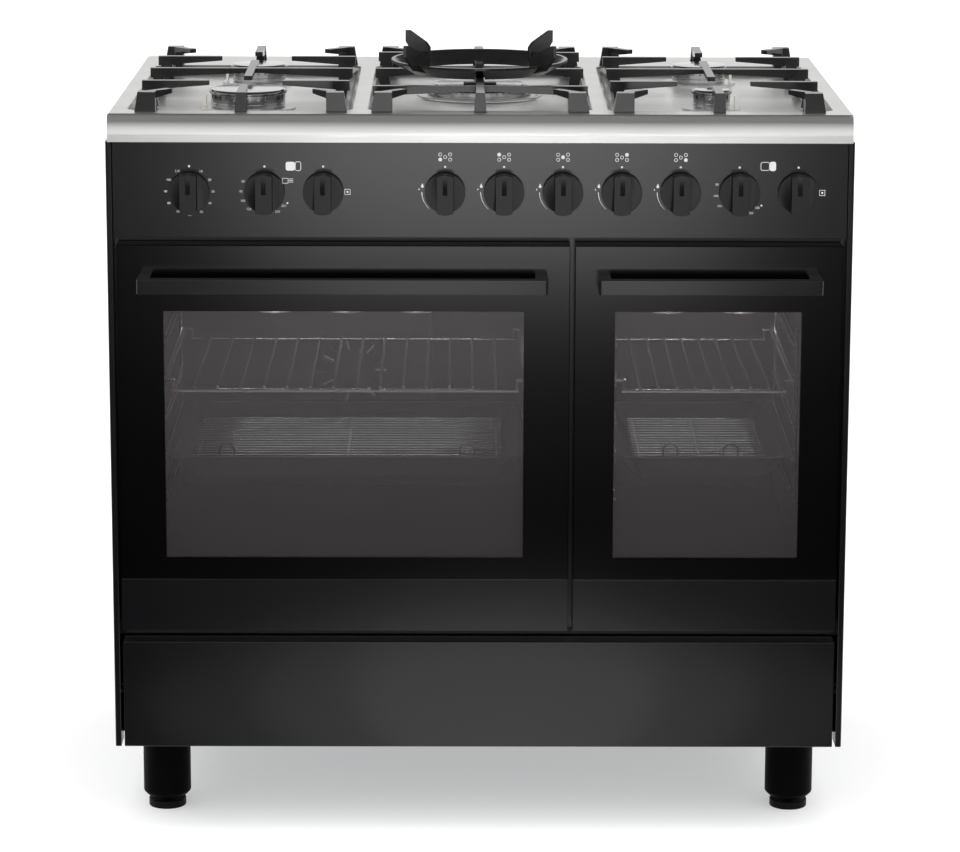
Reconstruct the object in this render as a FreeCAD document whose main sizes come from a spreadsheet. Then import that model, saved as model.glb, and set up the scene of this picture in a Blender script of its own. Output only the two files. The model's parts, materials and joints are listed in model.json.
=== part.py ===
# Range cooker, 90 cm wide: two drop-down ovens, a drawer below and five gas burners on top.
# Frame: X to the right, Y to the back, Z up. Millimetres. The origin is on the floor, under
# the middle of the whole cooker, handles included.

import FreeCAD, Part
import Sketcher
import math
import os
import re
from FreeCAD import Rotation, Vector

doc = FreeCAD.newDocument("RangeCooker")

# Driving sizes
SIZES = {
    # Whole cooker, heights stacked from the floor to the worktop
    "width": 900,
    "depth": 600,
    "ground_clearance": 111,
    "drawer_front_height": 134.5,
    "drawer_gap": 14.5,
    "door_height": 480,
    "vent_gap": 10,
    "panel_height": 116.5,
    "apron_height": 33.5,
    # Sheet metal and shared clearances
    "sheet": 2,
    "liner": 2,
    "side_edge": 7.5,
    "side_edge_round": 2.5,
    "side_top_flange": 14,
    "door_side_gap": 3.8,
    "door_seam": 6,
    "slip": 0.3,
    "shaft_clearance": 0.05,
    "overrun": 1,
    # Doors, hinges and handles
    "small_door_width": 323.6,
    "door_thickness": 31,
    "seal_space": 5,
    "seal_width": 8,
    "seal_inset": 3,
    "glass_thickness": 4,
    "trim_height": 64.5,
    "door_skin": 2,
    "door_rim": 9,
    "door_foot": 34,
    "inner_glass_margin": 5,
    "main_window_inset": 55.7,
    "small_window_inset": 48.7,
    "window_rise": 93,
    "window_drop": 80.5,
    "hinge_rise": 10,
    "hinge_inset": 46,
    "hinge_width": 16,
    "hinge_knuckle": 7.5,
    "hinge_side_gap": 1,
    "hinge_swing_gap": 2.5,
    "hinge_nose": 4,
    "pin_radius": 4,
    "pin_reach": 7,
    "handle_reach": 45,
    "handle_height": 18.4,
    "handle_bar": 12,
    "handle_post": 15,
    "handle_round": 3,
    "handle_drop": 34,
    "handle_inset": 27.5,
    # Oven cavities and what is in them
    "service_space": 158,
    "cavity_inset": 44,
    "cavity_rise": 82,
    "cavity_drop": 72,
    "rack_wire": 2,
    "rack_offset": 8,
    "rack_pair": 12,
    "rack_pitch": 48.3,
    "rack_top_drop": 54.5,
    "rack_end_gap": 12,
    "shelf_frame_wire": 2.5,
    "shelf_wire": 2,
    "shelf_dip": 13,
    "shelf_overhang": 4,
    "shelf_edge": 1.5,
    "shelf_crank": 9,
    "pan_depth": 28,
    "pan_wall": 1.5,
    "pan_slope": 20,
    "pan_corner": 14,
    "pan_length": 330,
    "grid_wire": 1.5,
    "grid_rail": 2.5,
    "grid_margin": 32,
    "grid_end": 5,
    "grid_lift": 9,
    "hump_radius": 9,
    "element_radius": 3.3,
    "element_drop": 22,
    "element_inset": 40,
    "element_bend": 22,
    "fan_cover_size": 210,
    "fan_cover_depth": 34,
    "fan_eye": 44,
    "fan_slot_width": 5,
    "fan_slot_length": 15,
    "fan_hub": 11,
    "fan_blade_reach": 72,
    "fan_blade_width": 20,
    "fan_shaft": 4,
    "motor_radius": 34,
    "motor_length": 58,
    "lamp_radius": 17,
    "lamp_depth": 9,
    "lamp_inset": 46,
    # Hob
    "hob_side_inset": 3.5,
    "apron_reach": 12,
    "crease_reach": 4,
    "apron_slope": 16,
    "well_depth": 11,
    "well_slope": 25,
    "well_corner": 12,
    "side_well_width": 270,
    "centre_well_width": 269,
    "well_length": 462,
    "strip_width": 30,
    "side_well_offset": 291,
    "support_offset": 287.5,
    "pad_height": 3,
    "pad_margin": 11,
    "burner_offset": 285,
    "burner_spread": 130,
    "crown_height": 17,
    "wok_crown_height": 8,
    "crown_inset": 2,
    "cup_depth": 24,
    "cup_inset": 9,
    "slot_width": 3,
    "slot_depth": 5,
    "slot_height": 6,
    "cap_thickness": 5.5,
    "cap_edge": 2,
    "large_cap": 47.5,
    "medium_cap": 36,
    "small_cap": 24.8,
    "wok_cap": 59,
    "wok_burner": 67.5,
    "electrode_radius": 2,
    "electrode_gap": 5,
    "electrode_drop": 3,
    # Pan supports and wok ring
    "support_side_half": 127.5,
    "support_centre_half": 131,
    "support_half_length": 250,
    "support_top": 24,
    "support_bar": 10,
    "support_bar_height": 12,
    "support_tip_height": 5.5,
    "support_waist": 6.5,
    "support_rail": 6,
    "support_rail_lift": 3,
    "support_rail_inset": 8,
    "support_foot": 25,
    "support_foot_lean": 4,
    "support_foot_depth": 15,
    "support_end_foot": 15,
    "support_end_crown": 11,
    "support_post": 16,
    "support_post_lean": 4,
    "support_tip_gap": 45,
    "support_corner_reach": 39,
    "support_cross_row": 180,
    "support_finger_end": 53,
    "support_tee": 40,
    "support_tee_row": 148,
    "support_ring_finger": 62,
    "ring_wall": 4,
    "ring_rim": 111,
    "ring_rim_height": 12.5,
    "ring_lip": 3,
    "ring_mouth": 80,
    "ring_foot": 86,
    "ring_drop": 4,
    "ring_notch_gap": 1,
    "blade_thickness": 5,
    "blade_inner": 90,
    "blade_inner_top": 19.5,
    "blade_shoulder": 96.7,
    "blade_shoulder_height": 25.7,
    "blade_corner": 127,
    "blade_outer": 131.5,
    "blade_top": 38.5,
    "blade_outer_height": 24,
    "blade_foot": 115.6,
    "blade_foot_height": 6,
    # Controls
    "panel_lip": 2,
    "knob_rise": 55.5,
    "knob_radius": 24.2,
    "knob_gap": 5.5,
    "knob_base": 7,
    "knob_grip": 17,
    "knob_grip_width": 20,
    "knob_mark_width": 5.5,
    "knob_mark_depth": 0.8,
    "knob_bore_depth": 14,
    "knob_pitch": 70.75,
    "knob_timer": 349.5,
    "knob_oven": 259,
    "knob_lamp": 188.5,
    "knob_first_burner": 42.1,
    "spindle_radius": 3,
    "spindle_hole": 7,
    "spindle_tip_gap": 1,
    "knob_travel": 4,
    "body_setback": 12,
    "body_boss": 9,
    "tap_width": 26,
    "tap_height": 30,
    "tap_depth": 36,
    "tap_shaft_depth": 9,
    "switch_size": 40,
    "switch_depth": 32,
    "rail_radius": 8,
    "rail_bend": 30,
    "rail_overhang": 25,
    "inlet_inset": 60,
    # Drawer
    "drawer_thickness": 30,
    "drawer_wall": 1.5,
    "drawer_side_inset": 50,
    "drawer_floor_gap": 6,
    "drawer_box_height": 98,
    "drawer_back_gap": 60,
    "drawer_flange": 40,
    "runner_leg": 44,
    "runner_height": 12,
    "runner_rise": 48,
    "drawer_frame_edge": 6,
    # Base and feet
    "base_rise": 9,
    "shield_gap": 4,
    "leg_radius": 30,
    "leg_chamfer": 6,
    "leg_side_inset": 54.5,
    "leg_front_inset": 115,
    "leg_back_inset": 80,
    "foot_radius": 23.5,
    "foot_height": 10,
    "foot_screw": 6,
    "foot_screw_gap": 4,
    "vent_length": 90,
    "vent_height": 6,
    "vent_pitch": 16,
}

# Counts of what repeats
RACK_LEVELS = 5
SHELF_LEVEL = 1
PAN_LEVEL = 3
MAIN_SHELF_WIRES = 14
SMALL_SHELF_WIRES = 8
GRID_WIRES = 17
HUMP_STEPS = 6
BEND_STEPS = 4
MAIN_ELEMENT_RODS = 6
SMALL_ELEMENT_RODS = 4
FAN_SLOTS = 14
FAN_BLADES = 7
BACK_VENTS = 9
WIRE_SIDES = 6
THIN_WIRE_SIDES = 4
KNOB_SIDES = 36
BORE_SIDES = 12

# Places worked out from the driving sizes, each a formula
PLACES = {
    "front": "(handle_reach - depth) / 2",
    "back": "front + depth",
    "half": "width / 2",
    "inside": "half - sheet",
    "drawer_bottom": "ground_clearance",
    "drawer_top": "drawer_bottom + drawer_front_height",
    "door_bottom": "drawer_top + drawer_gap",
    "door_top": "door_bottom + door_height",
    "panel_bottom": "door_top + vent_gap",
    "panel_top": "panel_bottom + panel_height",
    "deck_top": "panel_top + apron_height",
    "well_floor": "deck_top - well_depth",
    "door_right": "half - side_edge - door_side_gap",
    "door_left": "-door_right",
    "small_left": "door_right - small_door_width",
    "main_right": "small_left - door_seam",
    "main_middle": "(door_left + main_right) / 2",
    "door_back": "front + door_thickness",
    "frame_front": "door_back + seal_space",
    "frame_back": "frame_front + sheet",
    "hinge_height": "door_bottom + hinge_rise",
    "hinge_place": "door_back - hinge_knuckle - hinge_swing_gap - overrun",
    "glass_bottom": "door_bottom + trim_height",
    "window_bottom": "door_bottom + window_rise",
    "window_top": "door_top - window_drop",
    "handle_top": "door_top - handle_drop",
    "main_cavity_left": "door_left + cavity_inset",
    "main_cavity_right": "main_right - cavity_inset",
    "small_cavity_left": "small_left + cavity_inset",
    "small_cavity_right": "door_right - cavity_inset",
    "cavity_floor": "door_bottom + cavity_rise",
    "cavity_roof": "door_top - cavity_drop",
    "cavity_rear": "back - service_space",
    "cavity_middle": "(cavity_floor + cavity_roof) / 2",
    "knob_height": "panel_bottom + knob_rise",
    "body_front": "front + sheet + body_setback",
    "hob_half": "half - hob_side_inset",
    "well_front": "front + strip_width",
    "well_back": "well_front + well_length",
    "well_centre": "(well_front + well_back) / 2",
    "support_plane": "deck_top + support_top",
    "base_bottom": "ground_clearance + base_rise",
    "base_top": "base_bottom + sheet",
    "runner_bottom": "base_top + runner_rise",
    "drawer_half": "half - drawer_side_inset",
    "leg_bottom": "foot_height + foot_screw_gap",
}

sheet = doc.addObject("Spreadsheet::Sheet", "Sizes")
for row, (alias, amount) in enumerate(SIZES.items(), start=1):
    sheet.set("A%d" % row, alias)
    sheet.set("B%d" % row, str(amount))
    sheet.setAlias("B%d" % row, alias)
doc.recompute()
places = doc.addObject("App::VarSet", "Places")


def ref(formula):
    """A formula with each size and place pointed at the object that holds it."""

    def owner(match):
        word = match.group(0)
        if word in SIZES:
            return "Sizes." + word
        if word in PLACES:
            return "Places." + word
        return word

    return re.sub(r"[a-z][a-z_]+", owner, str(formula))


for place, formula in PLACES.items():
    places.addProperty("App::PropertyFloat", place)
    places.setExpression(place, ref(formula))
doc.recompute()


def size(name):
    """The number behind a size or a place, for shapes that are worked out in code."""
    if name in PLACES:
        return float(getattr(places, name))
    return float(sheet.get(name))


# Helpers for bodies, sketches and features


def new_body(label):
    body = doc.addObject("PartDesign::Body", label)
    body.Label = label
    return body


def sketch_on(body, name, plane, offset="0"):
    """A sketch on an origin plane, moved along the plane's normal."""
    sketch = body.newObject("Sketcher::SketchObject", body.Label + "_" + name)
    support = [item for item in body.Origin.OriginFeatures if item.Role == plane + "_Plane"][0]
    sketch.AttachmentSupport = [(support, "")]
    sketch.MapMode = "FlatFace"
    if offset != "0":
        sketch.setExpression("AttachmentOffset.Base.z", ref(offset))
    return sketch


def fix_point(sketch, geometry, which, across, up):
    """Hold a point of the sketch at two formulas, measured from the sketch's origin."""
    for kind, formula in (("DistanceX", across), ("DistanceY", up)):
        index = sketch.addConstraint(Sketcher.Constraint(kind, -1, 1, geometry, which, 1.0))
        sketch.setExpression("Constraints[%d]" % index, ref(formula))


def polygon(sketch, corners):
    """A closed outline of straight lines through corners given as pairs of formulas."""
    first = sketch.GeometryCount
    count = len(corners)
    turn = 2 * math.pi / count
    guess = [Vector(math.cos(turn * k), math.sin(turn * k), 0) for k in range(count)]
    for k in range(count):
        sketch.addGeometry(Part.LineSegment(guess[k], guess[(k + 1) % count]), False)
    for k in range(count):
        follower = first + (k + 1) % count
        sketch.addConstraint(Sketcher.Constraint("Coincident", first + k, 2, follower, 1))
    for k, (across, up) in enumerate(corners):
        fix_point(sketch, first + k, 1, across, up)


def rectangle(sketch, left, right, low, high):
    polygon(sketch, [(left, low), (right, low), (right, high), (left, high)])


def circle(sketch, across, up, radius):
    index = sketch.addGeometry(Part.Circle(Vector(0, 0, 0), Vector(0, 0, 1), 1.0), False)
    fix_point(sketch, index, 3, across, up)
    held = sketch.addConstraint(Sketcher.Constraint("Radius", index, 1.0))
    sketch.setExpression("Constraints[%d]" % held, ref(radius))


def regular(sketch, across, up, radius, sides):
    """An even-sided outline whose corners lie on a radius."""
    turns = [360.0 * (k + 0.5) / sides for k in range(sides)]
    polygon(sketch, [("(%s) + (%s) * cos(%g)" % (across, radius, turn),
                      "(%s) + (%s) * sin(%g)" % (up, radius, turn)) for turn in turns])


def pad(body, name, sketch, length, symmetric=False, backwards=False):
    feature = body.newObject("PartDesign::Pad", body.Label + "_" + name)
    feature.Profile = sketch
    feature.Midplane = symmetric
    feature.Reversed = backwards
    feature.setExpression("Length", ref(length))
    body.Tip = feature
    return feature


def pocket(body, name, sketch, length, symmetric=False, backwards=False):
    feature = body.newObject("PartDesign::Pocket", body.Label + "_" + name)
    feature.Profile = sketch
    feature.Midplane = symmetric
    feature.Reversed = backwards
    feature.setExpression("Length", ref(length))
    body.Tip = feature
    return feature


def edge_names(shape, wanted):
    return ["Edge%d" % (k + 1) for k, edge in enumerate(shape.Edges) if wanted(edge)]


def fillet(body, name, radius, wanted):
    """Round the edges of the body so far that pass the test."""
    doc.recompute()
    base = body.Tip
    feature = body.newObject("PartDesign::Fillet", body.Label + "_" + name)
    feature.Base = (base, edge_names(base.Shape, wanted))
    feature.setExpression("Radius", ref(radius))
    body.Tip = feature
    return feature


def runs_along(edge, direction):
    ends = edge.Vertexes
    if len(ends) != 2:
        return False
    step = ends[1].Point - ends[0].Point
    return step.Length > 0 and abs(step.normalize().dot(direction)) > 0.999


# Helpers for primitives and booleans


def at(item, x="0", y="0", z="0"):
    for axis, formula in (("x", x), ("y", y), ("z", z)):
        item.setExpression("Placement.Base." + axis, ref(formula))
    return item


def box(name, left, right, near, far, low, high):
    item = doc.addObject("Part::Box", name)
    item.setExpression("Length", ref("(%s) - (%s)" % (right, left)))
    item.setExpression("Width", ref("(%s) - (%s)" % (far, near)))
    item.setExpression("Height", ref("(%s) - (%s)" % (high, low)))
    return at(item, left, near, low)


AXIS_TURNS = {
    "X": Rotation(Vector(0, 1, 0), 90),
    "Y": Rotation(Vector(1, 0, 0), -90),
    "Z": Rotation(),
}


def rod(name, axis, radius, length, x, y, z):
    """A cylinder that starts at a point and runs along an axis."""
    item = doc.addObject("Part::Cylinder", name)
    item.setExpression("Radius", ref(radius))
    item.setExpression("Height", ref(length))
    item.Placement.Rotation = AXIS_TURNS[axis]
    return at(item, x, y, z)


def bar(name, axis, sides, radius, length, x, y, z):
    """An even-sided bar that starts at a point and runs along an axis. Its corners lie on the radius."""
    item = doc.addObject("Part::Prism", name)
    item.Polygon = sides
    item.setExpression("Circumradius", ref(radius))
    item.setExpression("Height", ref(length))
    item.Placement.Rotation = AXIS_TURNS[axis]
    return at(item, x, y, z)


def join(label, items):
    fused = doc.addObject("Part::MultiFuse", label)
    fused.Label = label
    fused.Shapes = items
    return fused


def subtract(label, base, tools):
    if len(tools) > 1:
        tool = join(label + "_cutters", tools)
    else:
        tool = tools[0]
    result = doc.addObject("Part::Cut", label)
    result.Label = label
    result.Base = base
    result.Tool = tool
    return result


def group(label, items):
    together = doc.addObject("Part::Compound", label)
    together.Label = label
    together.Links = items
    return together


def shaped(label, shape):
    """A piece whose shape is worked out in code from the sizes."""
    item = doc.addObject("Part::Feature", label)
    item.Label = label
    item.Shape = shape
    return item


def closed_solid(outlines):
    """A solid inside flat faces, each given by its corners."""
    faces = [Part.Face(Part.makePolygon(outline + outline[:1])) for outline in outlines]
    solid = Part.makeSolid(Part.makeShell(faces))
    if solid.Volume < 0:
        solid.reverse()
    return solid


def skin(rings):
    """The faces of a tube of corner rings, with both ends closed."""
    outlines = [rings[0], rings[-1]]
    for before, after in zip(rings, rings[1:]):
        for k in range(len(before)):
            follower = (k + 1) % len(before)
            outlines.append([before[k], before[follower], after[follower], after[k]])
    return closed_solid(outlines)


def bent(points, radius, sides=WIRE_SIDES):
    """A wire along a path of points, mitred at each bend. Its flat sides lie at the radius."""
    steps = [(after - before).normalize() for before, after in zip(points, points[1:])]
    start = steps[0]
    upright = Vector(0, 0, 1)
    if abs(start.dot(upright)) > 0.9:
        upright = Vector(0, 1, 0)
    across = start.cross(upright).normalize()
    beyond = across.cross(start).normalize()
    reach = radius / math.cos(math.pi / sides)
    ring = []
    for k in range(sides):
        turn = math.pi / 2 + 2 * math.pi * (k + 0.5) / sides
        ring.append(points[0] + across * (reach * math.cos(turn)) + beyond * (reach * math.sin(turn)))
    rings = [ring]
    for k, step in enumerate(steps):
        joint = points[k + 1]
        mitre = step if k + 1 == len(steps) else step + steps[k + 1]
        last = rings[-1]
        rings.append([corner + step * ((joint - corner).dot(mitre) / step.dot(mitre)) for corner in last])
    return skin(rings)


def prism(corners, thickness):
    """A plate through a flat outline, thickened evenly to both sides."""
    outline = Part.makePolygon(corners + corners[:1])
    face = Part.Face(outline)
    normal = face.normalAt(0, 0)
    plate = face.extrude(normal * thickness)
    plate.translate(normal * (-thickness / 2))
    return plate


def cornered(left, right, near, far, height, corner):
    """The corners of a level rectangle whose corners are cut off."""
    return [
        Vector(left + corner, near, height),
        Vector(right - corner, near, height),
        Vector(right, near + corner, height),
        Vector(right, far - corner, height),
        Vector(right - corner, far, height),
        Vector(left + corner, far, height),
        Vector(left, far - corner, height),
        Vector(left, near + corner, height),
    ]


nodes = []


def keep(item):
    nodes.append(item)
    return item


# Side panels, folded from sheet, with a narrow box edge at the front


def side_panel(label, sign):
    def across(inset):
        return "%s(half - (%s))" % (sign, inset)

    body = new_body(label)
    plan = sketch_on(body, "plan", "XY", "ground_clearance")
    polygon(plan, [
        (across("0"), "front"),
        (across("0"), "back"),
        (across("sheet"), "back"),
        (across("sheet"), "front + sheet"),
        (across("side_edge - sheet"), "front + sheet"),
        (across("side_edge - sheet"), "frame_front"),
        (across("side_edge"), "frame_front"),
        (across("side_edge"), "front"),
    ])
    pad(body, "wall", plan, "panel_top - ground_clearance")
    flange = sketch_on(body, "flange_plan", "XY", "panel_top - sheet")
    polygon(flange, [
        (across("sheet / 2"), "frame_back + slip"),
        (across("sheet / 2"), "back - sheet - slip"),
        (across("side_top_flange"), "back - sheet - slip"),
        (across("side_top_flange"), "frame_back + slip"),
    ])
    pad(body, "flange", flange, "sheet")
    outer = abs(size("half"))
    nose = size("front")
    fillet(body, "nose", "side_edge_round", lambda edge: runs_along(edge, Vector(0, 0, 1))
           and abs(abs(edge.CenterOfMass.x) - outer) < 0.01 and abs(edge.CenterOfMass.y - nose) < 0.01)
    return keep(body)


side_panel("side_panel_left", "-")
side_panel("side_panel_right", "")

# Back panel with a stack of vent slots behind the fan motor

back_panel = new_body("back_panel")
back_face = sketch_on(back_panel, "face", "XZ", "-back")
rectangle(back_face, "-inside", "inside", "ground_clearance", "panel_top")
pad(back_panel, "plate", back_face, "sheet")
vents = sketch_on(back_panel, "vents", "XZ", "-back + sheet")
for index in range(BACK_VENTS):
    low = "cavity_middle + vent_pitch * %g" % (index - (BACK_VENTS - 1) / 2)
    rectangle(vents, "main_middle - vent_length / 2", "main_middle + vent_length / 2",
              low, low + " + vent_height")
pocket(back_panel, "slots", vents, "sheet + overrun")
keep(back_panel)

# Floor of the cooker and the heat shield over the drawer

base_plate = box("base_plate", "-inside", "inside", "frame_back", "back - sheet",
                 "base_bottom", "base_top")
shield_plate = box("shield_plate", "-inside", "inside", "frame_back", "back - sheet",
                   "drawer_top + shield_gap", "drawer_top + shield_gap + sheet")
keep(group("floor_panels", [base_plate, shield_plate]))

# Front frame: one pressed sheet with the oven, drawer and control openings, and the hinge brackets

frame_sheet = box("frame_sheet", "-inside", "inside", "frame_front", "frame_back",
                  "base_bottom", "panel_top")
frame_openings = [
    box("frame_main_opening", "main_cavity_left", "main_cavity_right", "frame_front - overrun",
        "frame_back + overrun", "cavity_floor", "cavity_roof"),
    box("frame_small_opening", "small_cavity_left", "small_cavity_right", "frame_front - overrun",
        "frame_back + overrun", "cavity_floor", "cavity_roof"),
    box("frame_drawer_opening", "drawer_frame_edge - inside", "inside - drawer_frame_edge",
        "frame_front - overrun", "frame_back + overrun", "base_top + sheet", "drawer_top"),
    box("frame_control_opening", "-door_right", "door_right", "frame_front - overrun",
        "frame_back + overrun", "panel_bottom + panel_lip + sheet", "panel_top - panel_lip - sheet"),
]
frame_cut = subtract("frame_cut", frame_sheet, frame_openings)

HINGES = {
    "main": ("door_left + hinge_inset", "main_right - hinge_inset"),
    "small": ("small_left + hinge_inset", "door_right - hinge_inset"),
}
hinge_parts = []
for door, middles in HINGES.items():
    for side, middle, outward in zip(("left", "right"), middles, ("-", "")):
        name = "hinge_%s_%s" % (door, side)
        arm = new_body(name)
        profile = sketch_on(arm, "profile", "YZ", middle)
        polygon(profile, [
            ("frame_front", "hinge_height - hinge_knuckle"),
            ("frame_front", "hinge_height + hinge_knuckle"),
            ("hinge_place - hinge_knuckle + hinge_nose", "hinge_height + hinge_knuckle"),
            ("hinge_place - hinge_knuckle", "hinge_height + hinge_knuckle - hinge_nose"),
            ("hinge_place - hinge_knuckle", "hinge_height - hinge_knuckle + hinge_nose"),
            ("hinge_place - hinge_knuckle + hinge_nose", "hinge_height - hinge_knuckle"),
        ])
        pad(arm, "arm", profile, "hinge_width", symmetric=True)
        hinge_parts.append(arm)
        start = middle if outward == "" else middle + " - hinge_width / 2 - hinge_side_gap - pin_reach"
        hinge_parts.append(rod(name + "_pin", "X", "pin_radius",
                               "hinge_width / 2 + hinge_side_gap + pin_reach",
                               start, "hinge_place", "hinge_height"))
keep(join("front_frame", [frame_cut] + hinge_parts))

# Oven cavities: enamelled steel boxes, open at the front


def cavity(label, left, right, cutters):
    outer = box(label + "_shell", left + " - liner", right + " + liner", "frame_back",
                "cavity_rear + liner", "cavity_floor - liner", "cavity_roof + liner")
    inner = box(label + "_space", left, right, "frame_back - overrun", "cavity_rear",
                "cavity_floor", "cavity_roof")
    return keep(subtract(label, outer, [inner] + cutters))


fan_hole = bar("fan_hole", "Y", BORE_SIDES, "(fan_shaft + shaft_clearance) / cos(180 / %d)" % BORE_SIDES,
               "liner + 2 * overrun", "main_middle", "cavity_rear - overrun", "cavity_middle")
cavity("main_cavity", "main_cavity_left", "main_cavity_right", [fan_hole])
cavity("small_cavity", "small_cavity_left", "small_cavity_right", [])

# Door seals, held on the frame round each oven opening


def seal(name, left, right):
    outer = box(name + "_outer", "%s - seal_inset - seal_width" % left,
                "%s + seal_inset + seal_width" % right, "door_back + slip", "frame_front",
                "cavity_floor - seal_inset - seal_width", "cavity_roof + seal_inset + seal_width")
    inner = box(name + "_inner", left + " - seal_inset", right + " + seal_inset",
                "door_back + slip - overrun", "frame_front + overrun",
                "cavity_floor - seal_inset", "cavity_roof + seal_inset")
    return subtract(name, outer, [inner])


keep(group("door_seals", [
    seal("main_seal", "main_cavity_left", "main_cavity_right"),
    seal("small_seal", "small_cavity_left", "small_cavity_right"),
]))

# Wire side racks: five pairs of runners on two posts, hung on each cavity wall


def rack_level(level):
    """Height of the middle of a runner pair, counted from the top."""
    return size("cavity_roof") - size("rack_top_drop") - level * size("rack_pitch")


def side_rack(wall, inward):
    """One rack on a cavity wall. inward is +1 where the oven lies to the right of the wall."""
    thick = size("rack_wire")
    near = size("frame_back") + size("rack_end_gap")
    far = size("cavity_rear") - size("fan_cover_depth") - size("rack_end_gap")
    runner = wall + inward * size("rack_offset")
    post = runner - inward * 2 * thick
    pieces = []
    for level in range(RACK_LEVELS):
        for side in (-1, 1):
            height = rack_level(level) + side * size("rack_pair") / 2
            pieces.append(bent([Vector(runner, near, height), Vector(runner, far, height)],
                               thick, THIN_WIRE_SIDES))
    low = rack_level(RACK_LEVELS - 1) - size("rack_pair")
    high = rack_level(0) + size("rack_pair")
    for along in (near + size("rack_end_gap"), far - size("rack_end_gap")):
        pieces.append(bent([Vector(wall, along, low), Vector(post, along, low),
                            Vector(post, along, high), Vector(wall, along, high)],
                           thick, THIN_WIRE_SIDES))
    return pieces


racks = []
for wall, inward in (("main_cavity_left", 1), ("main_cavity_right", -1),
                     ("small_cavity_left", 1), ("small_cavity_right", -1)):
    racks += side_rack(size(wall), inward)
keep(shaped("side_racks", Part.makeCompound(racks)))

# Wire shelves: each hangs from the second runner pair on cranked corners


def wire_shelf(left, right, count):
    edge_wire = size("shelf_frame_wire")
    thin = size("shelf_wire")
    near = size("frame_back") + size("rack_end_gap") + edge_wire
    far = size("cavity_rear") - size("fan_cover_depth") - size("rack_end_gap") - edge_wire
    runner_top = rack_level(SHELF_LEVEL) - size("rack_pair") / 2 + size("rack_wire")
    seat = runner_top + edge_wire / math.cos(math.pi / WIRE_SIDES)
    low = seat - size("shelf_dip")
    inset = size("rack_offset") + size("shelf_edge")
    crank = size("shelf_crank")
    pieces = []
    for edge, inward in ((left + inset, 1), (right - inset, -1)):
        pieces.append(bent([
            Vector(edge + inward * crank, near, low + edge_wire),
            Vector(edge + inward * crank, near, seat),
            Vector(edge, near, seat),
            Vector(edge, far, seat),
            Vector(edge + inward * crank, far, seat),
            Vector(edge + inward * crank, far, low + edge_wire),
        ], edge_wire))
    ends = (left + inset + crank - edge_wire, right - inset - crank + edge_wire)
    for y in (near, far):
        pieces.append(bent([Vector(ends[0], y, low), Vector(ends[1], y, low)], edge_wire))
    step = (ends[1] - ends[0]) / (count + 1)
    height = low + edge_wire + thin
    over = size("shelf_overhang")
    for k in range(count):
        x = ends[0] + step * (k + 1)
        pieces.append(bent([Vector(x, near - over, height), Vector(x, far + over, height)], thin))
    return pieces


shelves = wire_shelf(size("main_cavity_left"), size("main_cavity_right"), MAIN_SHELF_WIRES)
shelves += wire_shelf(size("small_cavity_left"), size("small_cavity_right"), SMALL_SHELF_WIRES)
keep(shaped("wire_shelves", Part.makeCompound(shelves)))

# Grill pans: pressed trays whose rims slide on the fourth runner pair


def pan_rim_height():
    return rack_level(PAN_LEVEL) - size("rack_pair") / 2 + size("rack_wire")


def pan_ends():
    near = size("frame_back") + 2 * size("rack_end_gap")
    return near, near + size("pan_length")


def grill_pan(left, right):
    wall = size("pan_wall")
    slope = size("pan_slope")
    corner = size("pan_corner")
    near, far = pan_ends()
    rim = pan_rim_height()
    floor = rim - size("pan_depth")
    reach = size("rack_offset") - size("rack_wire") + size("slip")
    outer_left = left + size("rack_offset") + size("rack_wire") + slope / 4
    outer_right = right - size("rack_offset") - size("rack_wire") - slope / 4
    outside = skin([
        cornered(outer_left + slope, outer_right - slope, near + slope, far - slope, floor, corner),
        cornered(outer_left, outer_right, near, far, rim, corner),
    ])
    hollow = skin([
        cornered(outer_left + slope + wall, outer_right - slope - wall, near + slope + wall,
                 far - slope - wall, floor + wall, corner - wall),
        cornered(outer_left + wall, outer_right - wall, near + wall, far - wall, rim, corner - wall),
    ])
    flange = skin([
        cornered(left + reach, right - reach, near - slope / 4, far + slope / 4, height, corner)
        for height in (rim, rim + wall)
    ])
    mouth = skin([
        cornered(outer_left + wall, outer_right - wall, near + wall, far - wall, height, corner - wall)
        for height in (rim - wall, rim + 2 * wall)
    ])
    return outside.cut(hollow).fuse(flange.cut(mouth)).removeSplitter()


keep(shaped("grill_pans", Part.makeCompound([
    grill_pan(size("main_cavity_left"), size("main_cavity_right")),
    grill_pan(size("small_cavity_left"), size("small_cavity_right")),
])))

# Wire grids that stand in the pans, with two raised wire loops at the front


def hump(x, y, height):
    """A wire loop standing across the front of a grid."""
    radius = size("hump_radius")
    path = [Vector(x - radius, y, height)]
    for k in range(HUMP_STEPS + 1):
        turn = math.pi * k / HUMP_STEPS
        path.append(Vector(x - radius * math.cos(turn), y, height + radius * (1 + math.sin(turn))))
    path.append(Vector(x + radius, y, height))
    return bent(path, size("grid_wire"), THIN_WIRE_SIDES)


def grill_grid(left, right):
    thin = size("grid_wire")
    rail = size("grid_rail")
    margin = size("grid_margin") + size("rack_offset")
    pan_near, pan_far = pan_ends()
    near = pan_near + size("grid_margin")
    far = pan_far - size("grid_margin")
    floor = pan_rim_height() - size("pan_depth") + size("pan_wall")
    rail_height = floor + size("grid_lift") + rail
    wire_height = rail_height + rail + thin
    rails = (left + margin + rail, (left + right) / 2, right - margin - rail)
    pieces = []
    for x in rails:
        pieces.append(bent([Vector(x, near + rail, floor), Vector(x, near + rail, rail_height),
                            Vector(x, far - rail, rail_height), Vector(x, far - rail, floor)], rail))
    step = (far - near) / (GRID_WIRES + 1)
    over = size("grid_end")
    for k in range(GRID_WIRES):
        y = near + step * (k + 1)
        pieces.append(bent([Vector(left + margin - over, y, wire_height),
                            Vector(right - margin + over, y, wire_height)],
                           thin, THIN_WIRE_SIDES))
    for x in (left + 2 * margin, right - 2 * margin):
        pieces.append(hump(x, near + step, wire_height + thin))
    return pieces


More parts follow.
